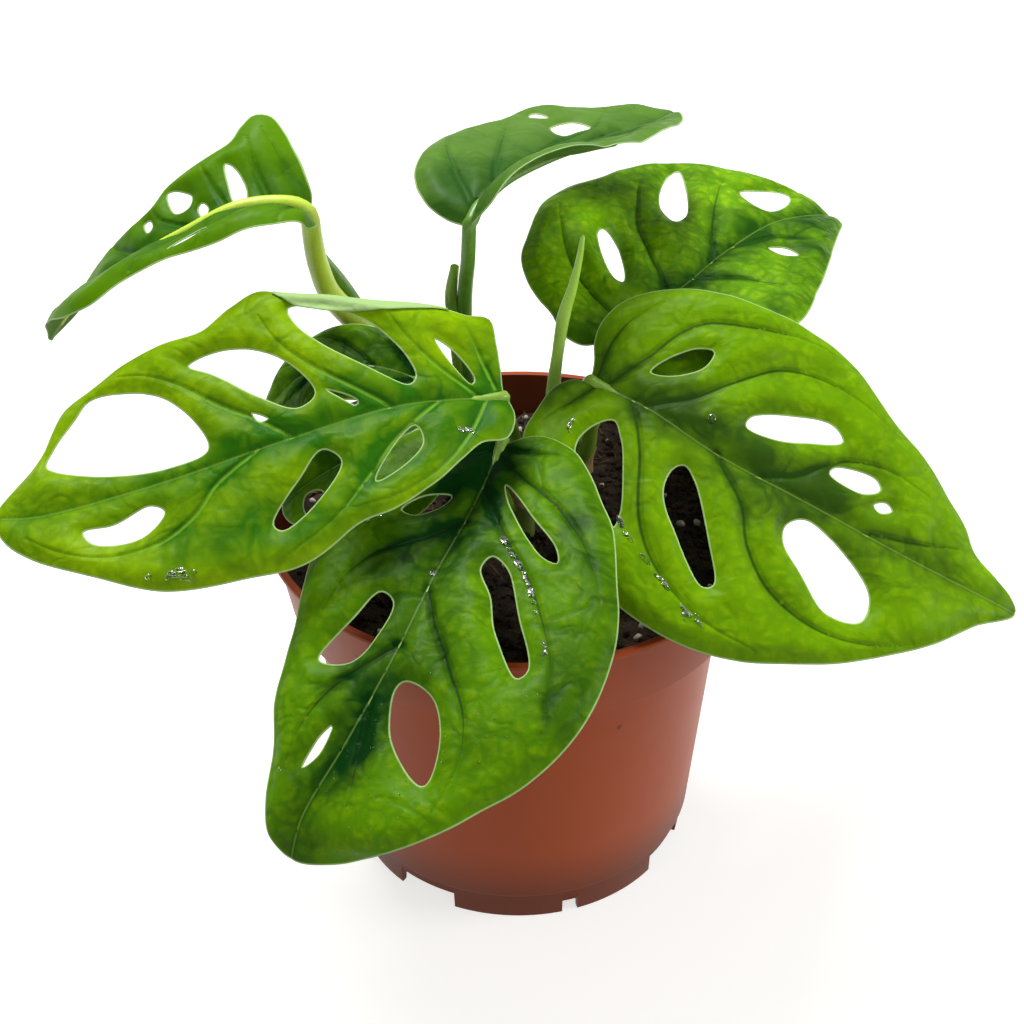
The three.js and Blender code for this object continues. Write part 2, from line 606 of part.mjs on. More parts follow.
// The circle through three points.
function circleThrough(a, b, c) {
  const bx = b.x - a.x;
  const by = b.y - a.y;
  const cx = c.x - a.x;
  const cy = c.y - a.y;
  const twice = 2 * (bx * cy - by * cx);
  const x = (cy * (bx * bx + by * by) - by * (cx * cx + cy * cy)) / twice;
  const y = (bx * (cx * cx + cy * cy) - cx * (bx * bx + by * by)) / twice;
  return { x: a.x + x, y: a.y + y, radiusSq: x * x + y * y };
}

// The three sides of a triangle, each as its two corners in turn.
function sidesOf([a, b, c]) {
  return [[a, b], [b, c], [c, a]];
}

// A name for a side that is the same from either end.
function sideKey(a, b) {
  return `${Math.min(a, b)},${Math.max(a, b)}`;
}

// Delaunay triangles of flat points, each point added in turn inside one very large triangle.
function delaunay(points) {
  const far = 1e4;
  const all = [...points, new THREE.Vector2(-far, -far), new THREE.Vector2(far, -far),
    new THREE.Vector2(0, far)];
  const first = points.length;
  const make = (a, b, c) => ({ corners: [a, b, c], circle: circleThrough(all[a], all[b], all[c]) });
  let triangles = [make(first, first + 1, first + 2)];
  points.forEach((point, index) => {
    const openEdges = new Map();
    const kept = [];
    for (const triangle of triangles) {
      const { x, y, radiusSq } = triangle.circle;
      if ((point.x - x) ** 2 + (point.y - y) ** 2 >= radiusSq) {
        kept.push(triangle);
        continue;
      }
      for (const [from, to] of sidesOf(triangle.corners)) {
        if (!openEdges.delete(sideKey(from, to))) {
          openEdges.set(sideKey(from, to), [from, to]);
        }
      }
    }
    for (const [from, to] of openEdges.values()) {
      kept.push(make(from, to, index));
    }
    triangles = kept;
  });
  return triangles.map((t) => t.corners).filter((corners) => Math.max(...corners) < first);
}

// The blade cut into flat triangles: its points, triangles and margin loops.
// A margin edge that the triangles miss is halved until they hold them all.
function flatBlade(leaf) {
  let loops = [closedLine(leaf.outline, BLADE.marginStep),
    ...leaf.holes.map((hole) => closedLine(hole, BLADE.holeStep))];
  const inner = gridPoints(loops[0], loops.slice(1));
  const [turnX, turnY] = SHAKE_TURNS;
  for (let round = 0; round < MARGIN_ROUNDS; round++) {
    const [outline, ...holes] = loops;
    const points = [...loops.flat(), ...inner];
    const shaken = points.map((p, i) => new THREE.Vector2(
      p.x + SHAKE * Math.sin(turnX * i), p.y + SHAKE * Math.cos(turnY * i)));
    const triangles = delaunay(shaken).filter(([a, b, c]) => {
      const centre = points[a].clone().add(points[b]).add(points[c]).divideScalar(3);
      return isOnBlade(centre, outline, holes);
    });
    const held = new Set(triangles.flatMap(sidesOf).map(([a, b]) => sideKey(a, b)));
    let start = 0;
    let missed = 0;
    const split = loops.map((loop) => {
      const finer = [];
      loop.forEach((point, i) => {
        const next = (i + 1) % loop.length;
        finer.push(point);
        if (!held.has(sideKey(start + i, start + next))) {
          finer.push(point.clone().lerp(loop[next], 0.5));
          missed++;
        }
      });
      start += loop.length;
      return finer;
    });
    if (missed === 0) {
      return { points, triangles, loops };
    }
    loops = split;
  }
  throw new Error(`${leaf.name}: the margin could not be triangulated`);
}

// The blade as a thin closed solid. Both faces have the same triangles.
function bladeSolid(leaf) {
  const { points, triangles, loops } = flatBlade(leaf);
  const positions = [];
  for (const side of [0.5, -0.5]) {
    for (const { x, y } of points) {
      const point = bladePoint(leaf, x, y)
        .addScaledVector(bladeNormal(leaf, x, y), side * BLADE.thickness);
      positions.push(point.x, point.y, point.z);
    }
  }
  const count = points.length;
  const faces = [];
  for (const [a, b, c] of triangles) {
    const turnsLeft = THREE.ShapeUtils.area([points[a], points[b], points[c]]) > 0;
    const [p, q, r] = turnsLeft ? [a, c, b] : [a, b, c];
    faces.push(p, q, r, p + count, r + count, q + count);
  }
  let start = 0;
  loops.forEach((loop, index) => {
    const turnsLeft = THREE.ShapeUtils.area(loop) > 0;
    const forward = turnsLeft === (index === 0);
    for (let i = 0; i < loop.length; i++) {
      const here = start + i;
      const next = start + ((i + 1) % loop.length);
      const [a, b] = forward ? [here, next] : [next, here];
      faces.push(a, b, a + count, b, b + count, a + count);
    }
    start += loop.length;
  });
  return toSolid(indexedGeometry(positions, faces));
}

// The midrib stands out under the blade and thins towards the tip.
function midribSolid(leaf, baseRadius) {
  const rises = leaf.midribRise ?? [-MIDRIB.sink, -MIDRIB.sink];
  const points = [];
  for (let i = 0; i <= MIDRIB.places; i++) {
    const { place, up } = ribFrame(leaf, (MIDRIB.share * leaf.length * i) / MIDRIB.places);
    const rise = valueAlong(rises, i / MIDRIB.places);
    points.push(place.addScaledVector(up, rise).toArray());
  }
  const radii = [baseRadius, baseRadius * MIDRIB_SECOND_SHARE, ...MIDRIB.radii];
  return toSolid(taperedTube(smoothCurve(points), radii, MIDRIB.sides, MIDRIB.steps));
}

// One leaf with its petiole, kept clear of the stem that its foot is sheathed round.
function leafSolid(leaf, fatStems) {
  leaf.curve = smoothCurve(leaf.rib);
  leaf.length = leaf.curve.getLength();
  const entry = bladePoint(leaf, PETIOLE.entry, 0).toArray();
  const petioleCurve = smoothCurve([...leaf.petiole, entry]);
  const steps = Math.max(PETIOLE.fewestSteps, Math.round(petioleCurve.getLength() / PETIOLE.step));
  const petiole = taperedTube(petioleCurve, leaf.petioleRadius, PETIOLE.sides, steps);
  let solid = bladeSolid(leaf)
    .add(midribSolid(leaf, leaf.petioleRadius.at(-1)))
    .add(toSolid(petiole));
  if (leaf.sheath) {
    const sheath = taperedTube(smoothCurve(leaf.sheath), leaf.sheathRadius, PETIOLE.sides,
      PETIOLE.fewestSteps);
    solid = solid.add(toSolid(sheath));
  }
  return cutBy(solid, fatStems);
}

// The plant

const plant = new THREE.Group();
plant.add(toMesh('pot', potWithDrains(), COLORS.pot, ROUGHNESS.pot));

const fatStems = STEMS.map((stem) => stemSolid(stem, GAP));
plant.add(toMesh('soil', cutBy(soilSolid(), fatStems), COLORS.soil, ROUGHNESS.soil));

for (const stem of STEMS) {
  plant.add(toMesh(stem.name, stemSolid(stem), COLORS.stem, ROUGHNESS.stem));
}

for (const leaf of LEAVES) {
  plant.add(toMesh(leaf.name, leafSolid(leaf, fatStems), COLORS.leaf, ROUGHNESS.leaf));
}

const rolledTube = taperedTube(smoothCurve(ROLLED_LEAF.route), ROLLED_LEAF.radii,
  ROLLED_LEAF.sides, ROLLED_LEAF.steps);
const rolledSolid = cutBy(toSolid(rolledTube), fatStems);
plant.add(toMesh('rolled_leaf', rolledSolid, COLORS.youngLeaf, ROUGHNESS.leaf));

export default plant;
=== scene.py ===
# A potted swiss cheese plant (Monstera adansonii) in a 12 cm nursery pot, made on its packed
# frame. Metres, +Z up. The sizes of the plant and pot are in millimetres, and MM turns them to
# metres. The studio and the grains of the soil are in metres.
import math
import random
from functools import partial

import bpy
import numpy as np
from mathutils import Matrix, Vector, noise
from mathutils.geometry import delaunay_2d_cdt
from mathutils.kdtree import KDTree


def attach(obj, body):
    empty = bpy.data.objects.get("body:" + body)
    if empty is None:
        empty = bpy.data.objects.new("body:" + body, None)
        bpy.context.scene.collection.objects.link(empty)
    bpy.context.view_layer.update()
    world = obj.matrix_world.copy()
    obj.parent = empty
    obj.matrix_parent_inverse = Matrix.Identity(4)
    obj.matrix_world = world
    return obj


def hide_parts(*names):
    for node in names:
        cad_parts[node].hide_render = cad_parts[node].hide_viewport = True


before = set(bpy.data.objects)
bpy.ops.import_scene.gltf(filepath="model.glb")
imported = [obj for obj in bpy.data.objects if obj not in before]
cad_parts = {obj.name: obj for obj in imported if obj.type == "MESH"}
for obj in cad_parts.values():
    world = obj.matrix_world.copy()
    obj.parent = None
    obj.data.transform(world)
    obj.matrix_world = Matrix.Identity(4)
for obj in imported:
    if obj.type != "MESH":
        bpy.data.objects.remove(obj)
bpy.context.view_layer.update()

MM = 0.001


# The view. The camera stands in front of the plant and looks down on it, from where the
# photograph was taken, as the round rim of the pot shows. It frames a square picture.
CAMERA_PLACE = (-1.144, -424.986, 399.138)
CAMERA_TILT = 35.76
CAMERA_ROLL = -0.58
FOCAL_PIXELS = 2200
PICTURE_PIXELS = 1024
SENSOR = 36


def link(name, data, *materials):
    """A new object in the scene, with its materials."""
    made = bpy.data.objects.new(name, data)
    for each in materials:
        data.materials.append(each)
    bpy.context.scene.collection.objects.link(made)
    return made


lens = bpy.data.cameras.new("camera")
lens.sensor_width = SENSOR
lens.lens = SENSOR * FOCAL_PIXELS / PICTURE_PIXELS
camera = link("camera", lens)
camera.matrix_world = (Matrix.Translation(Vector(CAMERA_PLACE) * MM)
                       @ Matrix.Rotation(math.radians(90 - CAMERA_TILT), 4, "X")
                       @ Matrix.Rotation(math.radians(CAMERA_ROLL), 4, "Z"))
bpy.context.scene.camera = camera
bpy.context.scene.view_settings.view_transform = "Standard"


# The studio: a white light table under soft light from all round. A large softbox hangs
# overhead, a little behind and to the left. Two weak ones stand in front, one of them low, and
# one on the right. A small bare lamp makes wet spots sparkle.
FLOOR_SIDE = 3.0
DIM, BRIGHT = 0.13, 0.35
LIGHTS = (
    # name, place, size, watts
    ("softbox_overhead", (-0.20, 0.40, 0.95), 0.45, 9.8),
    ("softbox_front", (0.35, -1.05, 0.30), 0.5, 1.4),
    ("softbox_low", (-0.50, -0.95, 0.10), 0.35, 1.5),
    ("softbox_right", (0.95, -0.10, 0.40), 0.5, 5.0),
    ("spark_lamp", (0.10, 0.70, 1.00), 0.05, 0.6),
)
AIM = Vector((0, -0.01, 0.1))
# Settings of a node that maps a range with soft ends, and of one that mixes two colours.
SOFTLY = dict(interpolation_type="SMOOTHSTEP")
COLOURS = dict(take=2, data_type="RGBA")


def linear(colour):
    """An sRGB colour such as "#4f8a0c" as linear red, green, blue and alpha."""
    parts = [int(colour[i:i + 2], 16) / 255 for i in (1, 3, 5)]
    return (*[c / 12.92 if c <= 0.04045 else ((c + 0.055) / 1.055) ** 2.4 for c in parts], 1)


def add_node(tree, kind, inputs=(), take=0, **settings):
    """Adds a node and gives one of its outputs. A kind that names no family is a shader node.
    inputs holds values, sRGB colours or other outputs, in order or under their sockets."""
    node = tree.nodes.new(kind if "Node" in kind else "ShaderNode" + kind)
    for name, value in settings.items():
        setattr(node, name, value)
    for key, value in inputs.items() if isinstance(inputs, dict) else enumerate(inputs):
        if isinstance(value, bpy.types.NodeSocket):
            tree.links.new(value, node.inputs[key])
            continue
        is_colour = isinstance(value, str) and value.startswith("#")
        node.inputs[key].default_value = linear(value) if is_colour else value
    return node.outputs[take] if node.outputs else None


def material(name, surface, *values):
    """A material, from its surface's inputs or from a function that makes them with nodes."""
    made = bpy.data.materials.new(name)
    made.use_nodes = True
    made.node_tree.nodes.clear()
    add = partial(add_node, made.node_tree)
    if callable(surface):
        surface = surface(add, add("TexCoord", take="Object"), *values)
    add("OutputMaterial", {"Surface": add("BsdfPrincipled", surface)})
    return made


half = FLOOR_SIDE / 2
floor_mesh = bpy.data.meshes.new("floor")
floor_mesh.from_pydata([(-half, -half, 0), (half, -half, 0), (half, half, 0), (-half, half, 0)],
                       [], [(0, 1, 2, 3)])
floor = link("floor", floor_mesh, material("white_light_table", {
    "Base Color": "#c0c0bf", "Roughness": 0.9, "Specular IOR Level": 0.1,
    "Emission Color": "#fffefb", "Emission Strength": 0.7}))
# The table's glow shows in the picture and in the pot's sheen, but throws no light up.
floor.visible_diffuse = False
floor.visible_transmission = False

studio = bpy.data.worlds.new("studio")
studio.use_nodes = True
# The room is bright above the height of the table and dim below it.
room = studio.node_tree
height = add_node(room, "SeparateXYZ", (add_node(room, "TexCoord", take="Generated"),), "Z")
glow = add_node(room, "MapRange", (height, -0.25, 0.15, DIM, BRIGHT), **SOFTLY)
background = room.nodes["Background"]
background.inputs["Color"].default_value = linear("#ffffff")
room.links.new(glow, background.inputs["Strength"])
bpy.context.scene.world = studio
for name, place, size, watts in LIGHTS:
    lamp = bpy.data.lights.new(name, "AREA")
    lamp.shape = "DISK"
    lamp.size = size
    lamp.energy = watts
    holder = link(name, lamp)
    holder.location = place
    holder.rotation_euler = (AIM - Vector(place)).to_track_quat("-Z", "Y").to_euler()


# The pot: an injection moulded polypropylene nursery pot, with a deep band, a thin lip round
# its mouth and a groove under the lip. Notches in its foot ring let the water out.
POT_OUTSIDE = (
    # radius, height
    (0, 0), (29, 0), (30.5, 6),  # the bottom, and the channel round it
    (39.8, 6), (40.2, 0), (41.8, 0), (42.2, 8),  # the foot ring
    (43.5, 8.5), (49.9, 74.7),  # the body
    (55, 74.7), (58.2, 93),  # the band, up to the groove
    (58.7, 93.6), (60, 93.6), (60, 95))  # the lip
POT_INSIDE = ((58.2, 95), (53.8, 76.1), (48.7, 75.9), (42.3, 9), (41, 7.2), (29.3, 7.2),
              (27.8, 1.2), (0, 1.2))
POT_SEGMENTS = 144
POT_ROUNDING = 0.35
LONGEST_CUT = 0.45  # the most of a side that a rounded corner takes
SHARP_ANGLE = 35
NOTCHES = (
    # angles, width, height
    ((-124, -28, 62, 152), 16, 5),
    ((-73, 17, 107, 197), 4, 4))
NOTCH_RADII = (38.7, 43.3)
NOTCH_START = -1.5
BOX_FACES = ((0, 1, 3, 2), (4, 6, 7, 5), (0, 4, 5, 1), (2, 3, 7, 6), (0, 2, 6, 4), (1, 5, 7, 3))
DRAINS = 8
DRAIN_RING = 35
FIRST_DRAIN = 11.25
DRILL = ((0, 3.3), (2.5, 3.3), (2.5, 8.7), (0, 8.7))
DRILL_SIDES = 24


def rounded(corners, radius, steps=4):
    """A closed (radius, height) profile with each corner off the axis turned to a small arc."""
    corners = np.array(corners, float)
    line = []
    for i, here in enumerate(corners):
        if here[0] == 0:
            line.append(here)
            continue
        sides = [other - here for other in (corners[i - 1], corners[(i + 1) % len(corners)])]
        start, end = (here + side * min(radius / np.linalg.norm(side), LONGEST_CUT)
                      for side in sides)
        for t in np.linspace(0, 1, steps):
            line.append((1 - t) ** 2 * start + 2 * t * (1 - t) * here + t * t * end)
    return np.array(line)


def turned(profile, segments):
    """Points and faces of a solid turned about Z. The profile starts and ends on the axis."""
    inner = profile[1:-1]
    angles = np.linspace(0, 2 * math.pi, segments, endpoint=False)
    rings = [(r * math.cos(a), r * math.sin(a), z) for r, z in inner for a in angles]
    faces = []
    last = 2 + (len(inner) - 1) * segments
    for k in range(segments):
        following = (k + 1) % segments
        faces += [(0, 2 + following, 2 + k), (1, last + k, last + following)]
        for row in range(2, last, segments):
            a, b = row + k, row + following
            faces.append((a, b, b + segments, a + segments))
    return [(0, 0, profile[0][1]), (0, 0, profile[-1][1]), *rings], faces


def merged(shells):
    """The points and faces of some shells, as those of one."""
    points, faces = [], []
    for more_points, more_faces in shells:
        start = len(points)
        points.extend(more_points)
        faces.extend([tuple(start + i for i in face) for face in more_faces])
    return points, faces


def mesh_of(name, points, faces, sharp_above=SHARP_ANGLE):
    """A smooth-shaded mesh in metres from points in millimetres."""
    mesh = bpy.data.meshes.new(name)
    mesh.from_pydata((np.array([tuple(p) for p in points], float) * MM).tolist(), [], faces)
    mesh.shade_smooth()
    mesh.set_sharp_from_angle(angle=math.radians(sharp_above))
    return mesh


def pot_cutters():
    """Blocks for the notches in the foot ring and drills for the drain holes."""
    shells = []
    for angles, width, height in NOTCHES:
        for angle in angles:
            turn = Matrix.Rotation(math.radians(angle), 3, "Z")
            shells.append(([turn @ Vector((x, y * width / 2, z)) for x in NOTCH_RADII
                            for y in (-1, 1) for z in (NOTCH_START, height)], BOX_FACES))
    drill, faces = turned(DRILL, DRILL_SIDES)
    for i in range(DRAINS):
        turn = math.radians(FIRST_DRAIN + 360 * i / DRAINS)
        place = (DRAIN_RING * math.cos(turn), DRAIN_RING * math.sin(turn), 0)
        shells.append((np.array(drill) + place, faces))
    return mesh_of("pot_cutters", *merged(shells))


def settled(made):
    """Puts what an object's modifiers make of its mesh in the mesh's place."""
    bpy.context.view_layer.update()
    evaluated = made.evaluated_get(bpy.context.evaluated_depsgraph_get())
    mesh = bpy.data.meshes.new_from_object(evaluated)
    made.modifiers.clear()
    old, made.data = made.data, mesh
    bpy.data.meshes.remove(old)
    mesh.name = made.name


def keep(made, node=None):
    """Puts a finished piece on the plant's one body, and in a node's place."""
    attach(made, "root")
    if node:
        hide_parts(node)


# Terracotta-coloured polypropylene: a satin skin off a polished mould, whose low dents catch
# the light unevenly, with a little soil splashed on it.
def polypropylene(add, place):
    # Slow changes of tone, about 40 mm across, from the way the plastic flowed.
    flow = add("TexNoise", {"Vector": place, "Scale": 25, "Detail": 2})
    colour = add("Mix", {0: flow, 6: "#a2420f", 7: "#ac4a18"}, **COLOURS)
    # Soil specks of about 0.5 mm, one to every 12 mm or so.
    cells = add("TexVoronoi", {"Vector": place, "Scale": 85})
    number = add("SeparateColor", (cells.node.outputs["Color"],))
    chosen = add("Math", (number, 0.86), operation="GREATER_THAN")
    speck = add("MapRange", (cells, 0.05, 0.09, 1, 0), **SOFTLY)
    dirt = add("Math", (chosen, speck), operation="MULTIPLY")
    faint = add("Math", (dirt, 0.7), operation="MULTIPLY")
    # The inner wall is painted dark, as shade inside the pot's mouth. There the surface faces the
    # pot's axis.
    outward = add("VectorMath", (place, (1, 1, 0)), operation="MULTIPLY")
    facing = add("VectorMath", (add("NewGeometry", take="Normal"), outward), "Value",
                 operation="DOT_PRODUCT")
    inner = add("MapRange", (facing, -0.03, -0.01, 0.75, 0))
    # The foot is painted darker, most of all at the table: partly grime, partly painted shade
    # where it stands on the table.
    grime_and_shade = add("MapRange", (add("SeparateXYZ", (place,), "Z"), 0.004, 0.026, 0.85, 0), **SOFTLY)
    # Soil specks, painted shade on the inner wall, and grime with painted shade at the foot.
    for share, tint in ((faint, "#3a1d12"), (inner, "#2c0d05"), (grime_and_shade, "#5e2608")):
        colour = add("Mix", {0: share, 6: colour, 7: tint}, **COLOURS)
    # Mould skin: dents of about 0.6 mm, and slow sink marks of about 15 mm.
    skin = add("TexNoise", {"Vector": place, "Scale": 1600, "Detail": 3})
    sink = add("TexNoise", {"Vector": place, "Scale": 65, "Detail": 1})
    fine = add("Bump", {"Height": skin, "Strength": 0.08, "Distance": 0.0001})
    bump = add("Bump", {"Height": sink, "Strength": 0.5, "Distance": 0.0004, "Normal": fine})
    return {"Base Color": colour, "Roughness": add("MapRange", (flow, 0, 1, 0.36, 0.48)),
            "Normal": bump, "IOR": 1.49, "Specular IOR Level": 0.2}


pot_line = rounded(POT_OUTSIDE + POT_INSIDE, POT_ROUNDING)
pot = link("nursery_pot", mesh_of("nursery_pot", *turned(pot_line, POT_SEGMENTS)))
cutters = link("pot_cutters", pot_cutters())
cut = pot.modifiers.new("drains", "BOOLEAN")
cut.object = cutters
cut.operation = "DIFFERENCE"
cut.solver = "EXACT"
settled(pot)
bpy.data.objects.remove(cutters)
pot.data.shade_smooth()
pot.data.set_sharp_from_angle(angle=math.radians(SHARP_ANGLE))
pot.data.materials.append(material("moulded_polypropylene_terracotta", polypropylene))
keep(pot, "pot")


# The soil: a dark peat mix that fills the pot to 10 mm under its rim, with crumbs, fibres and
# white perlite on its lumpy top.
SOIL_HEIGHT = 85
SOIL_LOWEST_TOP = 82.4
SOIL_TOP_RADIUS = 55.24
SOIL_WAVES = (
    # height, turn per millimetre of x and of y, start
    (0.8, 0.21, 0.17, 0.9), (0.5, 0.11, -0.33, 0), (0.4, 0.47, 0.29, 1.6))
SOIL_CRUMBS = ((0.9, 0.35), (0.5, 1.1))  # height, turns per millimetre
SOIL_RINGS = 56
SOIL_SEGMENTS = 168
SOIL_WALL_GAP = 0.05
LOOSE_RADIUS = 53.5
LOOSE_HEIGHT = 82.6
GRAIN_INPUTS = {
    "Per square metre": "Float", "Smallest": "Float", "Largest": "Float", "Tumble": "Float",
    "Roughness": "Float", "Lumps per metre": "Float", "Stretch": "Vector", "Detail": "Int",
    "Seed": "Int"}
GRAINS = (
    # name, material, and a value for each of the inputs, in metres where they are lengths
    ("soil_crumbs", "peat", 190000.0, 0.0003, 0.0015, 3.0, 0.0009, 1200.0, (1.0, 0.85, 0.7), 1, 3),
    ("soil_fibres", "fibre", 30000.0, 0.00025, 0.0006, 0.45, 0.0012, 260.0, (9.0, 0.6, 0.45), 1,
     8),
    ("perlite_grains", "perlite", 9000.0, 0.0005, 0.0014, 3.0, 0.0008, 1000.0, (1.0, 0.9, 0.8),
     2, 21),
)


def soil_height(x, y):
    """The height of the soil's surface: a few slow waves and finer crumbly noise."""
    waves = sum(h * math.sin(ax * x + ay * y + start) for h, ax, ay, start in SOIL_WAVES)
    return SOIL_HEIGHT + waves + sum(
        h * noise.noise(Vector((x, y, 0)) * turns) for h, turns in SOIL_CRUMBS)


def soil_mesh():
    profile = [(max(r - SOIL_WALL_GAP, 0), z + SOIL_WALL_GAP) for r, z in POT_INSIDE[:0:-1]]
    profile.append((SOIL_TOP_RADIUS, SOIL_LOWEST_TOP))
    profile += [(SOIL_TOP_RADIUS * share, SOIL_HEIGHT) for share in np.linspace(1, 0, SOIL_RINGS)]
    points, faces = turned(profile, SOIL_SEGMENTS)
    lumpy = [(x, y, soil_height(x, y) if z == SOIL_HEIGHT else z) for x, y, z in points]
    return mesh_of("potting_soil", lumpy, faces, 180)


def share_attribute(mesh, name, values):
    """Keeps one number a point on a mesh."""
    kept = mesh.attributes.new(name, "FLOAT", "POINT")
    kept.data.foreach_set("value", np.array(values, np.float32))


def geometry_tree(name, sockets):
    """A tree of Geometry Nodes with named inputs. Gives it, what adds nodes and the inputs."""
    tree = bpy.data.node_groups.new(name, "GeometryNodeTree")
    for label, kind in sockets.items():
        tree.interface.new_socket(label, in_out="INPUT", socket_type="NodeSocket" + kind)
    tree.interface.new_socket("Made", in_out="OUTPUT", socket_type="NodeSocketGeometry")
    add = partial(add_node, tree)
    return tree, add, add("NodeGroupInput").node.outputs


def run_tree(made, tree, values):
    """Grows an object by a geometry tree, whose inputs are set under their names."""
    grow = made.modifiers.new(tree.name, "NODES")
    grow.node_group = tree
    for socket in tree.interface.items_tree:
        if socket.name in values:
            grow[socket.identifier] = values[socket.name]
    settled(made)


def scatter_tree():
    """Geometry Nodes that scatter small rough bodies over a surface, where its points carry
    the share called scatter, and give only those bodies back."""
    tree, add, given = geometry_tree(
        "scatter", {"Surface": "Geometry", **GRAIN_INPUTS, "Material": "Material"})
    tumble, seed = given["Tumble"], given["Seed"]
    share = add("GeometryNodeInputNamedAttribute", {"Name": "scatter"}, data_type="FLOAT")
    density = add("Math", (share, given["Per square metre"]), operation="MULTIPLY")
    spots = add("GeometryNodeDistributePointsOnFaces", {
        "Mesh": given["Surface"], "Density": density, "Seed": seed})
    less = add("Math", (tumble, -1.0), operation="MULTIPLY")
    turn = add("FunctionNodeRandomValue", {
        0: add("CombineXYZ", (less, less, -math.pi)),
        1: add("CombineXYZ", (tumble, tumble, math.pi)), "Seed": seed}, data_type="FLOAT_VECTOR")
    lie = add("FunctionNodeRotateRotation", (spots.node.outputs["Rotation"], turn),
              rotation_space="LOCAL")
    size = add("FunctionNodeRandomValue", {
        2: given["Smallest"], 3: given["Largest"], "Seed": seed}, 1, data_type="FLOAT")
    stretch = add("VectorMath", {0: given["Stretch"], 3: size}, operation="SCALE")
    ball = add("GeometryNodeMeshIcoSphere", {"Radius": 1.0, "Subdivisions": given["Detail"]})
    bodies = add("GeometryNodeInstanceOnPoints", {
        "Points": spots, "Instance": ball, "Rotation": lie, "Scale": stretch})
    real = add("GeometryNodeRealizeInstances", (bodies,))
    lumps = add("TexNoise", {"Vector": add("GeometryNodeInputPosition"),
                             "Scale": given["Lumps per metre"], "Detail": 1}, "Color")
    centred = add("VectorMath", (lumps, (-0.5, -0.5, -0.5)), operation="ADD")
    shift = add("VectorMath", {0: centred, 3: given["Roughness"]}, operation="SCALE")
    rough = add("GeometryNodeSetPosition", {"Geometry": real, "Offset": shift})
    smooth = add("GeometryNodeSetShadeSmooth", (rough,))
    done = add("GeometryNodeSetMaterial", {"Geometry": smooth, "Material": given["Material"]})
    add("NodeGroupOutput", (done,))
    return tree


# Peat mix: near-black decayed fibre that stays matt even when moist, with browner dry bits.
def peat_mix(add, place, dark, light):
    # Patches of about 6 mm and grains of about 0.7 mm.
    patches = add("TexNoise", {"Vector": place, "Scale": 160, "Detail": 3})
    grains = add("TexNoise", {"Vector": place, "Scale": 1400, "Detail": 4, "Roughness": 0.7})
    both = add("Math", (patches, grains), operation="MULTIPLY")
    colour = add("Mix", {0: add("MapRange", (both, 0.15, 0.42)), 6: dark, 7: light}, **COLOURS)
    bump = add("Bump", {"Height": grains, "Strength": 0.9, "Distance": 0.0006})
    return {"Base Color": colour, "Roughness": 0.88, "Normal": bump, "Specular IOR Level": 0.3}


# Perlite: heat-puffed volcanic glass in chalky white grains full of tiny pits.
def perlite(add, place):
    pits = add("TexNoise", {"Vector": place, "Scale": 1800, "Detail": 2})
    stain = add("TexNoise", {"Vector": place, "Scale": 240})
    colour = add("Mix", {0: stain, 6: "#e6e0cf", 7: "#a79a80"}, **COLOURS)
    bump = add("Bump", {"Height": pits, "Strength": 0.8, "Distance": 0.0003})
    return {"Base Color": colour, "Roughness": 0.8, "Normal": bump}


soil_surface = soil_mesh()
share_attribute(soil_surface, "scatter", [
    v.co.z / MM > LOOSE_HEIGHT and math.hypot(v.co.x, v.co.y) / MM < LOOSE_RADIUS
    for v in soil_surface.vertices])
soil_materials = dict(
    peat=material("moist_peat_mix", peat_mix, "#140f0c", "#54412f"),
    fibre=material("dry_peat_fibre", peat_mix, "#3a2a1c", "#80664a"),
    perlite=material("perlite", perlite))
keep(link("potting_soil", soil_surface, soil_materials["peat"]), "soil")
scatter = scatter_tree()
for name, grain, *values in GRAINS:
    made = link(name, soil_surface.copy())
    run_tree(made, scatter, dict(zip(GRAIN_INPUTS, values), Material=soil_materials[grain]))
    keep(made)


# The stems: three short green vine stems with swollen joints, rooted in the soil. Where older
# leaves have dropped off, brown papery remains of their sheaths still wrap the joints.
STEM_RADII = (2.6, 3.2, 3.2, 3.9, 3.2, 3.2, 3.9, 3.2, 2.4)
STEM_TIP = (0.97, 0.85, 0.55)
STEM_FOOT = 62
STEM_BOW = 0.3
STEM_JOINTS = (0.375, 0.75)
STEM_RING = dict(height=0.3, half_width=0.5)
STEM_STEP = 0.5
STEM_SIDES = 24
STEMS = (
    # node, place of the foot, lean, height of the top, angle of the first sheath
    ("stem_front", (1, 3), (0.5, -1), 107, -60),
    ("stem_right", (13.5, 15), (1, -0.5), 106, -20),
    ("stem_back", (-13, 29), (-1.5, 0.5), 108, -110),
)
WRAP = dict(rows=9, columns=15, sweep=120, turn=150, height=7, less=2, flare=0.9, room=0.35,
            waves=0.25, waves_across=9, waves_up=5, dip=0.35, half=0.12)
TINY = 1e-9


def smooth_curve(points, per_span=40):
    """A dense line along a smooth curve through points, and the length along it so far."""
    p = np.array(points, float)
    ends = np.vstack([2 * p[0] - p[1], p, 2 * p[-1] - p[-2]])
    t = np.linspace(0, 1, per_span, endpoint=False)[:, None]
    line = [0.5 * (2 * b + (c - a) * t + (2 * a - 5 * b + 4 * c - d) * t ** 2
                   + (3 * b - a - 3 * c + d) * t ** 3)
            for a, b, c, d in zip(ends, ends[1:], ends[2:], ends[3:])]
    line = np.vstack([*line, p[-1:]])
    return line, lengths_along(line)


def lengths_along(line):
    return np.concatenate([[0], np.cumsum(np.linalg.norm(np.diff(line, axis=0), axis=1))])


def at_lengths(line, lengths, wanted):
    """The points of a line at wanted lengths along it."""
    return np.stack([np.interp(wanted, lengths, column) for column in line.T], -1)


def evenly(points, spacing):
    """A smooth curve through points as evenly spaced points."""
    line, lengths = smooth_curve(points)
    count = max(2, int(round(lengths[-1] / spacing)) + 1)
    return at_lengths(line, lengths, np.linspace(0, lengths[-1], count))


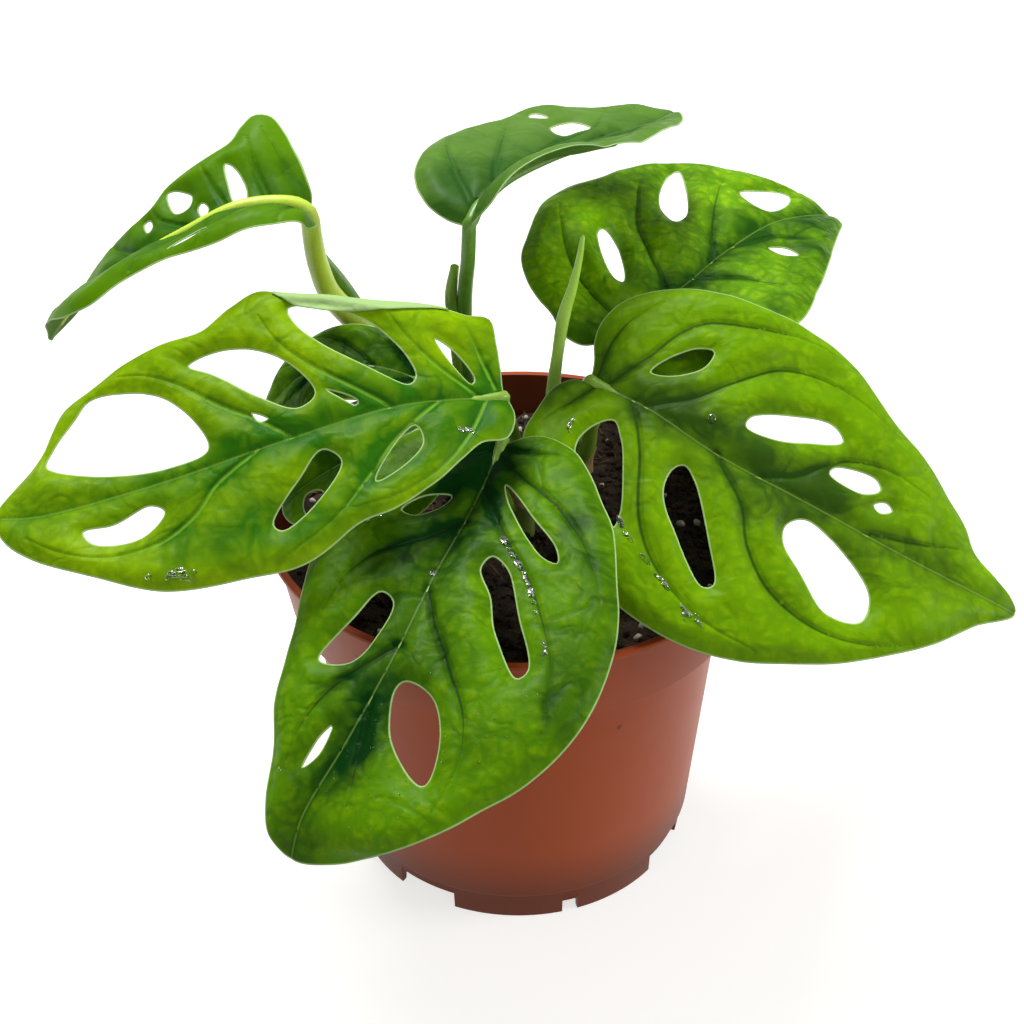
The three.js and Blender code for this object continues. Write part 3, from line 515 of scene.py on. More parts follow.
def value_along(values, share):
    """A value that runs evenly through a list as share goes from 0 to 1."""
    return np.interp(share, np.linspace(0, 1, len(values)), values)


def unit(vectors):
    return vectors / np.maximum(np.linalg.norm(vectors, axis=-1, keepdims=True), TINY)


def stalk_tree():
    """Geometry Nodes that thicken every line of points that carries a thickness into a round
    stalk, and leave the faces of the same mesh as they are."""
    tree, add, given = geometry_tree("stalks", {
        "Lines and faces": "Geometry", "Sides": "Int", "Stalk material": "Material",
        "Face material": "Material"})
    width = add("GeometryNodeInputNamedAttribute", {"Name": "thickness"}, data_type="FLOAT")
    on_line = add("FunctionNodeCompare", (width, 0.0), operation="GREATER_THAN")
    lines = add("GeometryNodeSeparateGeometry", (given[0], on_line), domain="POINT")
    ring = add("GeometryNodeCurvePrimitiveCircle", {"Resolution": given["Sides"], "Radius": 1.0})
    tube = add("GeometryNodeCurveToMesh", {
        "Curve": add("GeometryNodeMeshToCurve", (lines,)), "Profile Curve": ring,
        "Scale": width, "Fill Caps": True})
    joined = add("GeometryNodeJoinGeometry", (add("GeometryNodeSetMaterial", {
        "Geometry": add("GeometryNodeSetShadeSmooth", (tube,)),
        "Material": given["Stalk material"]}),))
    faces = add("GeometryNodeSetMaterial", {
        "Geometry": lines.node.outputs["Inverted"], "Material": given["Face material"]})
    tree.links.new(faces, joined.node.inputs[0])
    add("NodeGroupOutput", (add("GeometryNodeRealizeInstances", (joined,)),))
    return tree


STALKS = stalk_tree()


def grown(name, mesh, node, sides, stalk_skin, face_skin):
    """A piece of the plant whose lines the stalk tree has thickened. It replaces a node."""
    made = link(name, mesh)
    run_tree(made, STALKS, {
        "Sides": sides, "Stalk material": stalk_skin, "Face material": face_skin})
    keep(made, node)


def thin_shell(points, normals, faces, half):
    """A closed shell from a sheet whose faces wind round its normals: both of its sides and a
    rounded rim. Gives its points and faces, and each point's source and side, from 0 to 1."""
    count = len(points)
    faces = np.array(faces)
    edges = np.concatenate([np.stack([faces[:, i - 1], faces[:, i]], 1)
                            for i in range(faces.shape[1])])
    edges = edges[~np.isin(edges @ (count, 1), edges @ (1, count))]
    run = unit(points[edges[:, 1]] - points[edges[:, 0]])
    outward = np.zeros_like(points)
    for end in (0, 1):
        np.add.at(outward, edges[:, end], np.cross(run, normals[edges[:, end]]))
    rim = np.unique(edges)
    middle = np.zeros(count, int)
    middle[rim] = 2 * count + np.arange(len(rim))
    a, b = edges.T
    walls = np.concatenate([np.stack([b, a, middle[a], middle[b]], 1),
                            np.stack([middle[b], middle[a], a + count, b + count], 1)])
    thickness = normals * half[:, None]
    shell = np.concatenate([points + thickness, points - thickness,
                            points[rim] + unit(outward[rim]) * half[rim][:, None]])
    source = np.concatenate([np.arange(count), np.arange(count), rim])
    side = np.repeat([0, 1, 0.5], [count, count, len(rim)])
    return (shell, [*faces.tolist(), *(faces[:, ::-1] + count).tolist(), *walls.tolist()],
            source, side)


def thin_sheet(grid, half):
    """A thin closed sheet from a grid of points, whose normals follow from its rows."""
    grid = np.array(grid, float)
    rows, columns = grid.shape[:2]
    normals = unit(np.cross(np.gradient(grid, axis=0), np.gradient(grid, axis=1)))
    index = np.arange(rows * columns).reshape(rows, columns)
    faces = np.stack([index[:-1, :-1], index[1:, :-1], index[1:, 1:], index[:-1, 1:]],
                     -1).reshape(-1, 4)
    return thin_shell(grid.reshape(-1, 3), normals.reshape(-1, 3), faces,
                      np.full(rows * columns, half))[:2]


def plant_mesh(name, shells, line, radii, **attributes):
    """One mesh from shells and a line with its radii, for the stalk tree."""
    points, faces = merged(shells)
    count = len(points)
    edges = [(count + i, count + i + 1) for i in range(len(line) - 1)]
    mesh = bpy.data.meshes.new(name)
    mesh.from_pydata((np.array([*points, *line]) * MM).tolist(), edges, faces)
    mesh.shade_smooth()
    share_attribute(mesh, "thickness", [*np.zeros(count), *np.array(radii) * MM])
    for key, values in attributes.items():
        share_attribute(mesh, key, [*values, *np.zeros(len(line))])
    return mesh


# Green bark of a vine stem: smooth and slightly waxy, streaked along its length, with corky
# specks. Petioles have the same skin in a fresher green.
def stalk_skin(add, place, base, pale, speck):
    # Streaks about 1.5 mm wide and 10 mm long, upright.
    drawn = add("Mapping", {"Vector": place, "Scale": (650, 650, 100)})
    streaks = add("TexNoise", {"Vector": drawn, "Scale": 1, "Detail": 2})
    tint = add("Mix", {0: streaks, 6: base, 7: pale}, **COLOURS)
    # Corky specks of 0.3 mm.
    cells = add("TexVoronoi", {"Vector": place, "Scale": 900})
    spot = add("MapRange", (cells, 0.12, 0.25, 0.4, 0))
    bump = add("Bump", {"Height": streaks, "Strength": 0.4, "Distance": 0.0003})
    return {"Base Color": add("Mix", {0: spot, 6: tint, 7: speck}, **COLOURS),
            "Roughness": 0.42, "Normal": bump, "Coat Weight": 0.15, "Coat Roughness": 0.2}


# Papery remains of leaf sheaths: dry, brown, fibrous and matt.
def dry_sheath(add, place):
    drawn = add("Mapping", {"Vector": place, "Scale": (1500, 1500, 180)})
    fibres = add("TexNoise", {"Vector": drawn, "Scale": 1, "Detail": 3})
    colour = add("Mix", {0: fibres, 6: "#5a4024", 7: "#b99a68"}, **COLOURS)
    bump = add("Bump", {"Height": fibres, "Strength": 0.7, "Distance": 0.0004})
    return {"Base Color": colour, "Roughness": 0.85, "Normal": bump}


def sheath_wrap(middle, radius, start, height):
    """A strip of dry sheath wrapped round part of an upright stem, flaring at its top."""
    grid = []
    for row in np.linspace(0, 1, WRAP["rows"]):
        turns = np.linspace(-1, 1, WRAP["columns"])
        angle = np.radians(start + WRAP["sweep"] / 2 * turns)
        reach = (radius + WRAP["room"] + WRAP["flare"] * row ** 2
                 + WRAP["waves"] * np.sin(WRAP["waves_across"] * turns + WRAP["waves_up"] * row))
        rise = height * row * (1 - WRAP["dip"] * turns ** 2)
        grid.append(middle + np.stack([reach * np.cos(angle), reach * np.sin(angle), rise], -1))
    return thin_sheet(grid, WRAP["half"])


bark = material("green_stem_bark", stalk_skin, "#4c6424", "#7f9544", "#4a3a1e")
papery = material("dry_papery_sheath", dry_sheath)
for node, (x, y), (lean_x, lean_y), top, angle in STEMS:
    line = evenly(((x, y, STEM_FOOT), (x + lean_x * STEM_BOW, y + lean_y * STEM_BOW,
                                       (STEM_FOOT + top) / 2), (x + lean_x, y + lean_y, top)),
                  STEM_STEP)
    share = np.linspace(0, 1, len(line))
    radii = value_along(STEM_RADII, share)
    for joint in STEM_JOINTS:
        off = (share - joint) * (top - STEM_FOOT) / STEM_RING["half_width"]
        radii = radii + STEM_RING["height"] * np.exp(-off ** 2)
    radii[-len(STEM_TIP):] *= STEM_TIP
    wraps = [sheath_wrap(line[int(STEM_JOINTS[1] * (len(line) - 1))], max(STEM_RADII),
                         angle + WRAP["turn"] * k, WRAP["height"] - WRAP["less"] * k)
             for k in (0, 1)]
    grown("vine_" + node, plant_mesh("vine_" + node, wraps, line, radii), node,
          STEM_SIDES, bark, papery)


# How a leaf is made. The blade is laid out flat, from its margin, its natural holes and its
# veins, then bent round its midrib: each half folds up and curls. The tissue between the
# veins is quilted upwards, the veins lie in grooves, and the petiole runs into the midrib.
MARGIN_STEP = 1.0
HOLE_STEP = 0.8
VEIN_STEP = 1.1
STALK_STEP = 1.5
RIB_ROWS = (0, 0.45, -0.45, 1.1, -1.1)
VEIN_ROWS = (0, 0.8, -0.8)
RIM_ROWS = (-0.6, 0.6)
GRID = 1.25
CLEAR = 0.5
RIM_CLEAR = 0.4
WELD = 1e-5
SLIVER = 1e-7  # twice the area under which a triangle is left out
STRAIGHT = 1e-6  # the least curl, and the least step
BLADE_HALF = 0.21
RIM_SHARE = 0.6
RIM_TAPER = 1.5
FARTHEST = 10.0
QUILT = dict(height=1.3, reach=3.6, from_margin=4)
GROOVE = dict(depth=0.3, half_width=0.55, from_margin=3)
RIB_CHANNEL = dict(depth=0.35, half_width=0.8)
RIM_DROOP = dict(depth=0.3, reach=0.9)
WAVE = dict(height=0.7, turns_per_mm=0.055, finer=3, finer_share=0.4, from_rib=6)
VEIN_STRONG = 0.35  # the share of a side vein's length after which it fades
VEIN_LEAN = 2  # the most that a side vein leans forward where it begins, per millimetre
MIDRIB_SHARE = 0.93
MIDRIB_RADII = (0.8, 0.4)
MIDRIB_SUNK = 0.1
PETIOLE_RADII = (2, 1.5)
LEAF_STALK_SIDES = 14
RIB_FADE = 10.0
VEIN_FADE = 0.5
# How light the green is: painted darker beside the side veins and along the midrib, as shade in
# their grooves and in the trough between the folded halves, and lighter towards the tip.
FRESH_AND_SHADE = dict(base=0.32, veins=0.32, beside_vein=(0.2, 2.4), off_rib=0.72, beside_rib=(0.5, 18),
             tip=0.45, tip_from=0.6, step=2.0)
FOLD = dict(step=0.9, rows=8, lowest=0.3, rise=0.3, half=0.168, edge=0.1)
BEAD = dict(rise=0.42, rings=4, columns=14, stretch=(0.9, 2.2), step=0.25, over=0.02, under=0.05)


def closed_line(points, spacing, per_span=24, fewest=8):
    """A smooth closed line through flat points, centripetal, as evenly spaced points."""
    p = np.array(points, float)
    t = np.linspace(0, 1, per_span, endpoint=False)[:, None]
    line = []
    for i in range(len(p)):
        a, b, c, d = (p[(i + k) % len(p)] for k in (-1, 0, 1, 2))
        ab, bc, cd = (math.sqrt(np.linalg.norm(q - r)) for q, r in ((b, a), (c, b), (d, c)))
        start = ((b - a) / ab - (c - a) / (ab + bc) + (c - b) / bc) * bc
        end = ((c - b) / bc - (d - b) / (bc + cd) + (d - c) / cd) * bc
        line.append(b + start * t + (3 * (c - b) - 2 * start - end) * t ** 2
                    + (2 * (b - c) + start + end) * t ** 3)
    line = np.vstack([*line, p[:1]])
    lengths = lengths_along(line)
    count = max(fewest, int(round(lengths[-1] / spacing)))
    return at_lengths(line, lengths, np.linspace(0, lengths[-1], count, endpoint=False))


def is_inside(loop, points):
    """Which flat points lie inside a closed line."""
    x, y = points[:, :1], points[:, 1:]
    (x1, y1), (x2, y2) = loop.T, np.roll(loop, -1, 0).T
    with np.errstate(divide="ignore", invalid="ignore"):
        at = (x2 - x1) * (y - y1) / (y2 - y1) + x1
    return (((y1 > y) != (y2 > y)) & (x < at)).sum(1) % 2 == 1


def is_on_blade(loops, points):
    held = is_inside(loops[0], points)
    for hole in loops[1:]:
        held &= ~is_inside(hole, points)
    return held


def distance_to(lines, points, closed=False):
    """How far flat points are from the nearest of some lines, and how far along it."""
    nearest, share = np.full(len(points), FARTHEST), np.zeros(len(points))
    for line in lines:
        start, end = (line, np.roll(line, -1, 0)) if closed else (line[:-1], line[1:])
        run = end - start
        along = ((points[:, None] - start) * run).sum(-1) / np.maximum((run ** 2).sum(-1), TINY)
        gap = points[:, None] - start - np.clip(along, 0, 1)[..., None] * run
        gap = np.linalg.norm(gap, axis=-1)
        closest = gap.min(1)
        share = np.where(closest < nearest, gap.argmin(1) / len(start), share)
        nearest = np.minimum(nearest, closest)
    return nearest, share


def beside(line, offset):
    """A flat line moved sideways, by one distance or by one for each point."""
    run = unit(np.gradient(line, axis=0))
    return line + np.stack([-run[:, 1], run[:, 0]], -1) * np.reshape(offset, (-1, 1))


def with_room(points, more):
    """points, and those of more that keep clear of them."""
    tree = KDTree(len(points))
    for i, (u, v) in enumerate(points):
        tree.insert((u, v, 0), i)
    tree.balance()
    kept = [q for q in more if tree.find((*q, 0))[2] > CLEAR]
    return np.vstack([points, *kept])


def flat_blade(loops, veins):
    """The blade laid out flat: points and triangles that follow its margins and veins."""
    low, high = loops[0].min(0), loops[0].max(0)
    rib = np.arange(max(low[0], 0), high[0], VEIN_STEP)
    rows = [beside(np.vstack([loop, loop[:1]]), side) for loop in loops for side in RIM_ROWS]
    rows += [np.stack([rib, np.full(len(rib), v)], -1) for v in RIB_ROWS]
    rows += [beside(vein, offset) for offset in VEIN_ROWS for vein in veins]
    rise = GRID * math.sqrt(3) / 2
    rows.append(np.array([(u + GRID / 2 * (row % 2), v)
                          for row, v in enumerate(np.arange(low[1], high[1], rise))
                          for u in np.arange(low[0], high[0], GRID)]))
    points = np.vstack(loops)
    edges = []
    for loop in loops:
        start = len(edges)
        edges += [(start + i, start + (i + 1) % len(loop)) for i in range(len(loop))]
    for more in rows:
        more = more[is_on_blade(loops, more)]
        if len(more):
            more = more[distance_to(loops, more, True)[0] > RIM_CLEAR]
            points = with_room(points, more)
    flat, _, faces, *_ = delaunay_2d_cdt([Vector(p) for p in points.tolist()], edges, [], 0,
                                         WELD, False)
    flat, faces = np.array([tuple(p) for p in flat]), np.array(faces)
    a, b, c = (flat[faces[:, k]] for k in range(3))
    turn = (b - a)[:, 0] * (c - a)[:, 1] - (b - a)[:, 1] * (c - a)[:, 0]
    faces = faces[(np.abs(turn) > SLIVER) & is_on_blade(loops, (a + b + c) / 3)]
    used, faces = np.unique(faces, return_inverse=True)
    return flat[used], faces.reshape(-1, 3)


def rib_frames(leaf, along):
    """The midrib's places, the blade's right-hand and upward directions, and how far along."""
    line, lengths = smooth_curve(leaf["rib"])
    on_rib = np.clip(along, 0, lengths[-1])
    ahead = unit(at_lengths(np.gradient(line, lengths, axis=0), lengths, on_rib))
    place = at_lengths(line, lengths, on_rib) + ahead * (along - on_rib)[:, None]
    right = unit(np.cross(ahead, (0, 0, 1.0)))
    up = np.cross(right, ahead)
    share = on_rib / lengths[-1]
    roll = np.radians(value_along(leaf["roll"], share))[:, None]
    return (place, np.cos(roll) * right + np.sin(roll) * up,
            np.cos(roll) * up - np.sin(roll) * right, share)


def bent(leaf, flat, lift):
    """Places of flat points on the bent blade, lifted off it."""
    along, across = flat.T
    place, right, up, share = rib_frames(leaf, along)
    fold, curl = (np.where(across >= 0, value_along(leaf["right"][k], share),
                           value_along(leaf["left"][k], share)) for k in (0, 1))
    fold = np.radians(fold)
    curl = np.where(np.abs(curl) < STRAIGHT, STRAIGHT, curl)
    side, width = np.where(across >= 0, 1.0, -1.0), np.abs(across)
    turn = fold + curl * width
    out = side * (np.sin(turn) - np.sin(fold)) / curl
    rise = (np.cos(fold) - np.cos(turn)) / curl
    lean = turn * np.minimum(width, 1)
    normal = np.cos(lean)[:, None] * up - (side * np.sin(lean))[:, None] * right
    return place + out[:, None] * right + rise[:, None] * up + lift[:, None] * normal, normal


def eased(low, high, value):
    t = np.clip((value - low) / (high - low), 0, 1)
    return t * t * (3 - 2 * t)


def bell(distance, reach):
    return np.exp(-(distance / reach) ** 2)


def relief(flat, edge, vein, strength, seed):
    """How far the blade's surface stands off its smooth form."""
    rib = np.abs(flat[:, 1])
    valley = np.maximum(strength * bell(vein, QUILT["reach"]), bell(rib, QUILT["reach"]))
    lift = QUILT["height"] * (1 - valley) * eased(0, QUILT["from_margin"], edge)
    lift -= (GROOVE["depth"] * strength * bell(vein, GROOVE["half_width"])
             * eased(0, GROOVE["from_margin"], edge))
    lift -= RIB_CHANNEL["depth"] * bell(rib, RIB_CHANNEL["half_width"])
    lift -= RIM_DROOP["depth"] * bell(edge, RIM_DROOP["reach"])
    finer, share = WAVE["finer"], WAVE["finer_share"]
    waves = [noise.noise(Vector((u, v, seed)))
             + share * noise.noise(Vector((u * finer, v * finer, seed)))
             for u, v in (flat * WAVE["turns_per_mm"]).tolist()]
    return lift + WAVE["height"] * np.array(waves) * eased(0, WAVE["from_rib"], rib)


def rooted(vein):
    """A side vein's line, begun at the midrib."""
    (u, v), (next_u, next_v) = vein[:2]
    lean = np.clip((next_u - u) / (next_v - v), -VEIN_LEAN, VEIN_LEAN)
    return ((u - v * lean, 0), *vein)


class Blade:
    """A leaf's blade: its flat lines, and how its surface lies in space."""

    def __init__(self, leaf, seed):
        self.leaf, self.seed = leaf, seed
        self.loops = [closed_line(leaf["outline"], MARGIN_STEP)]
        self.loops += [closed_line(hole, HOLE_STEP) for hole in leaf.get("holes", ())]
        self.veins = [evenly(rooted(vein), VEIN_STEP) for vein in leaf["veins"]]

    def measures(self, flat):
        """Distances from the nearest margin and side vein, and how strong that vein is."""
        edge = distance_to(self.loops, flat, True)[0]
        vein, along = distance_to(self.veins, flat)
        return edge, vein, 1 - eased(VEIN_STRONG, 1, along)

    def laid(self, flat, height=0.0):
        """Places over flat points at a height over the skin, and the skin's normals there."""
        return bent(self.leaf, flat, relief(flat, *self.measures(flat), self.seed) + height)


def stalk_line(leaf):
    """The line and radii of a petiole that runs on as the midrib, under the blade."""
    length = smooth_curve(leaf["rib"])[1][-1]
    petiole = evenly(leaf["petiole"], STALK_STEP)
    petiole_radii = leaf.get("petiole_radii", PETIOLE_RADII)
    along = np.arange(STALK_STEP, MIDRIB_SHARE * length, STALK_STEP)
    share = along / along[-1]
    rib_radii = value_along((petiole_radii[-1], *leaf.get("midrib_radii", MIDRIB_RADII)), share)
    place, _, up, _ = rib_frames(leaf, along)
    under = (rib_radii - MIDRIB_SUNK) * eased(0, RIB_FADE, along) + RIB_CHANNEL["depth"]
    if "midrib_rise" in leaf:
        under = -value_along(leaf["midrib_rise"], share)
    radii = value_along(petiole_radii, np.linspace(0, 1, len(petiole)))
    return np.vstack([petiole, place - under[:, None] * up]), np.concatenate([radii, rib_radii])


def green_with_painted_shade(leaf, flat, vein, strength):
    """How light the green is, from 0, deep, to 1. It is painted deepest along the midrib and
    veins, as shade in their trough and grooves, and marks paint light and shade onto it.
    """
    rib = np.abs(flat[:, 1])
    fresh = (FRESH_AND_SHADE["base"] - FRESH_AND_SHADE["veins"] * strength * (1 - eased(*FRESH_AND_SHADE["beside_vein"], vein))
             + FRESH_AND_SHADE["off_rib"] * eased(*FRESH_AND_SHADE["beside_rib"], rib))
    length = max(u for u, v in leaf["outline"])
    fresh += FRESH_AND_SHADE["tip"] * eased(FRESH_AND_SHADE["tip_from"], 1, flat[:, 0] / length)
    # Each mark paints light onto the green near its line where its change is positive, and shade
    # where it is negative.
    for points, reach, change in leaf.get("shades", ()):
        near = distance_to([evenly(points, FRESH_AND_SHADE["step"])], flat)[0]
        fresh += change * (1 - eased(0, reach, near))
    return fresh


def folded_margin(blade, line, widths):
    """A strip of margin folded over onto the blade, rolled loosely at its fold."""
    line = evenly(line, FOLD["step"])
    width = value_along(widths, np.linspace(0, 1, len(line)))
    rows = [blade.laid(beside(line, width * t), FOLD["lowest"] + FOLD["rise"] * t ** 0.5)[0]
            for t in np.linspace(0, 1, FOLD["rows"])]
    return thin_sheet(rows, FOLD["half"])


def dome(blade, middle, size, stretch, ahead):
    """A bead of water on the blade, drawn out ahead: its points and faces."""
    rings, columns = BEAD["rings"], BEAD["columns"]
    across = np.array([-ahead[1], ahead[0]])
    turns = np.linspace(0, 2 * math.pi, columns, endpoint=False)[:, None]
    round_it = stretch * np.cos(turns) * ahead + np.sin(turns) * across
    tilts = np.linspace(0, math.pi / 2, rings + 1)[1:]
    flat = np.vstack([middle[None], *(middle + size * math.sin(tilt) * round_it
                                      for tilt in tilts)])
    height = BEAD["rise"] * size * np.array([1, *np.repeat(np.cos(tilts), columns)])
    top = blade.laid(flat, BLADE_HALF + BEAD["over"] + height)[0]
    foot = blade.laid(flat[:1], BLADE_HALF - BEAD["under"])[0]
    faces, last = [], 1 + (rings - 1) * columns
    for k in range(columns):
        j = (k + 1) % columns
        faces += [(0, 1 + k, 1 + j), (len(top), last + j, last + k)]
        faces += [(row + k, row + columns + k, row + columns + j, row + j)
                  for row in range(1, last, columns)]
    return [*top, *foot], faces


def water_beads(name, blade, marks, seed):
    """Clear drops on the blade: drawn-out beads along each mark, or dots spread round it."""
    dice = random.Random(seed)
    beads = []
    for line, spread, count, sizes in marks:
        route = evenly(line, BEAD["step"]) if len(line) > 1 else np.array([line[0], line[0]])
        for _ in range(count):
            here = int(dice.uniform(0, len(route) - 2))
            ahead = unit(route[here + 1] - route[here] + STRAIGHT)
            size = dice.uniform(*sizes)
            stretch = dice.uniform(*BEAD["stretch"]) if spread < 1 else 1.0
            middle = route[here] + np.array([dice.uniform(-spread, spread) for _ in "uv"])
            if is_on_blade(blade.loops, middle[None])[0]:
                beads.append(dome(blade, middle, size, stretch, ahead))
    keep(link(name, mesh_of(name, *merged(beads), 180), water))


def grow_leaf(node, blade_skin, stalk, seed, **leaf):
    """A whole leaf as one piece, with drops of water where it is wet."""
    blade = Blade(leaf, seed)
    flat, faces = flat_blade(blade.loops, blade.veins)
    edge, vein, strength = blade.measures(flat)
    places, normals = blade.laid(flat)
    half = BLADE_HALF * (RIM_SHARE + (1 - RIM_SHARE) * eased(0, RIM_TAPER, edge))
    shell, shell_faces, source, side = thin_shell(places, normals, faces[:, ::-1], half)
    fold = [folded_margin(blade, *leaf["fold"])] if "fold" in leaf else []
    folded = np.ones(sum(len(points) for points, _ in fold))
    name = "living_" + node
    mesh = plant_mesh(
        name, [(shell, shell_faces), *fold], *stalk_line(leaf),
        vein_mm=[*(vein + VEIN_FADE * (1 - strength))[source], *folded * FARTHEST],
        rib_mm=[*np.abs(flat[source, 1]), *folded * FARTHEST],
        edge_mm=[*edge[source], *folded * FOLD["edge"]],
        fresh=[*green_with_painted_shade(leaf, flat, vein, strength)[source], *folded],
        underside=[*side, *folded])
    grown(name, mesh, node, LEAF_STALK_SIDES, stalk, blade_skin)
    if "wet" in leaf:
        water_beads("water_on_" + node, blade, leaf["wet"], seed)


# The leaf's skin: deep green and waxy above, with a broad sheen. Along the midrib it is painted
# darker, as shade, and greyer, as a sheen. It is finely netted with veins, and pale green at its
# thin margins and underneath. Its IOR and specular level are under those of a plant's wax,
# matched to the soft sheen it shows.
def leaf_skin(add, place, deep, fresh, lit, vein_colour_and_crease_shade, mottling):
    vein, rib, edge, under, tone_and_painted_light = (
        add("Attribute", take="Fac", attribute_name=key)
        for key in ("vein_mm", "rib_mm", "edge_mm", "underside", "fresh"))
    # Patches of about 12 mm, and mottling of about 2 mm.
    patches = add("TexNoise", {"Vector": place, "Scale": 80, "Detail": 2})
    mottle = add("TexNoise", {"Vector": place, "Scale": 480, "Detail": 4, "Roughness": 0.68})
    # Puckers: low swellings about 6 mm across, with creases between them. The green is painted
    # darker in the creases, as their shade.
    swelling = add("TexNoise", {"Vector": place, "Scale": 95, "Detail": 2, "Roughness": 0.6,
                                "Distortion": 0.5})
    off_crease = add("Math", (add("Math", (swelling, 0.5), operation="SUBTRACT"),),
                     operation="ABSOLUTE")
    pucker = add("MapRange", (off_crease, 0, 0.12), **SOFTLY)
    # The net of small veins: cells of about 4 mm, with bent sides.
    bent_place = add("VectorMath", (patches.node.outputs["Color"], (0.006, 0.006, 0.006), place),
                     operation="MULTIPLY_ADD")
    cells = add("TexVoronoi", {"Vector": bent_place, "Scale": 250}, feature="DISTANCE_TO_EDGE")
    cell = add("MapRange", (cells, 0, 0.28), **SOFTLY)
    drift = add("Math", (patches, 1.3 * mottling + 0.6, -0.65 * mottling - 0.4),
                operation="MULTIPLY_ADD")
    crease_shade_and_drift = add("Math", (pucker, 0.2, drift), operation="MULTIPLY_ADD")
    # The tone carries painted light and shade, with painted shade in the creases.
    shade = add("Math", (tone_and_painted_light, crease_shade_and_drift), operation="ADD", use_clamp=True)
    colour = add("Mix", {0: shade, 6: deep, 7: fresh}, **COLOURS)
    bright = add("MapRange", (mottle, 0.35, 0.75, 0, mottling))
    in_cell = add("Math", (bright, cell), operation="MULTIPLY")
    light = add("Math", (in_cell, shade), operation="MULTIPLY")
    colour = add("Mix", {0: light, 6: colour, 7: lit}, **COLOURS)
    # A side vein is a fine line, 0.6 mm wide, that fades towards its end. On the bright skin it is
    # the vein's own pale green; on the others it is dark, painted shade in its crease. The midrib
    # shows above as a pale line 0.5 mm wide between two dark flanks of painted shade.
    for distance, start, end, most, tint in (
            (vein, 0.08, 0.6, 0.8, vein_colour_and_crease_shade), (rib, 0.3, 1.1, 0.4, deep),
            (rib, 0.1, 0.32, 0.32, "#8cb04a")):
        near = add("MapRange", (distance, start, end, most, 0), **SOFTLY)
        colour = add("Mix", {0: near, 6: colour, 7: tint}, **COLOURS)
    # Below, the skin is paler and greyer, with pale veins.
    near_vein = add("Math", (vein, rib), operation="MINIMUM")
    below_vein = add("MapRange", (near_vein, 0.2, 0.8, 1, 0))
    below = add("Mix", {0: below_vein, 6: "#64903a", 7: "#98b35e"}, **COLOURS)
    side = add("Math", (under, 0.75), operation="GREATER_THAN")
    colour = add("Mix", {0: side, 6: colour, 7: below}, **COLOURS)
    # A pale, horny margin 0.3 mm wide.
    margin = add("MapRange", (edge, 0.05, 0.32, 0.7, 0), **SOFTLY)
    colour = add("Mix", {0: margin, 6: colour, 7: "#bcdc94"}, **COLOURS)
    dull = add("MapRange", (mottle, 0, 1, 0.36, 0.46))
    # The skin bulges a little in each cell of the net, dips over the small veins, and sinks to
    # each side vein in a crease 2 mm wide.
    bank = add("MapRange", (vein, 0, 1.3), **SOFTLY)
    bump = (0, 0, 0)
    for height, strength, distance in (
            (cell, 0.4 * mottling, 0.0002), (mottle, 0.6 * mottling, 0.0004),
            (pucker, 0.7 * mottling, 0.0005), (bank, 0.6, 0.0005)):
        bump = add("Bump", {"Height": height, "Strength": strength, "Distance": distance,
                            "Normal": bump})
    return {"Base Color": colour, "Roughness": add("Mix", {0: side, 2: dull, 3: 0.55}),
            "Normal": bump, "IOR": 1.25, "Specular IOR Level": 0.2}


# Clear water, left on the leaves by a watering can.
water = material("clear_water", {
    "Base Color": "#ffffff", "Roughness": 0.02, "IOR": 1.333, "Transmission Weight": 1.0})
# The pale petiole skin is the sheath's own pale green, painted brighter as light glowing through
# it. The shaded petiole skin is darker, as painted shade.
petiole_green, pale_petiole_with_painted_glow, petiole_dark = (
    material(name, stalk_skin, *tints) for name, *tints in (
        ("green_petiole_skin", "#6a9a1c", "#94b83c", "#3d5c16"),
        ("pale_petiole_skin", "#c4e428", "#d4f058", "#a4c83c"),
        ("shaded_petiole_skin", "#477a14", "#6c9a30", "#345010")))
# The skins are copies of one waxy skin, lighter and darker partly as painted light and shade:
# bright for the leaf most in the light, deep for the leaves in shade or turned from it, and
# greyish for a painted sheen. Their mottling and vein colours are each leaf's own.
bright_lit_skin, deep_shaded_skin, fresh_skin, mottled_skin, greyish_sheen_skin, smooth_skin = (
    material("waxy_leaf_" + name, leaf_skin, *values) for name, *values in (
        ("bright", "#2c6806", "#7ca400", "#a6cc00", "#74a82c", 0.45),
        ("deep", "#043406", "#548600", "#8cb004", "#0c2c06", 0.5),
        ("fresh", "#30500e", "#689800", "#98c000", "#1c4408", 0.45),
        ("mottled", "#1e4a06", "#68a004", "#a8d010", "#1f4c0a", 0.7),
        ("greyish", "#2e5a18", "#58802c", "#749838", "#2a5a18", 0.25),
        ("smooth", "#285808", "#548400", "#6c9a04", "#3c6c10", 0.15)))


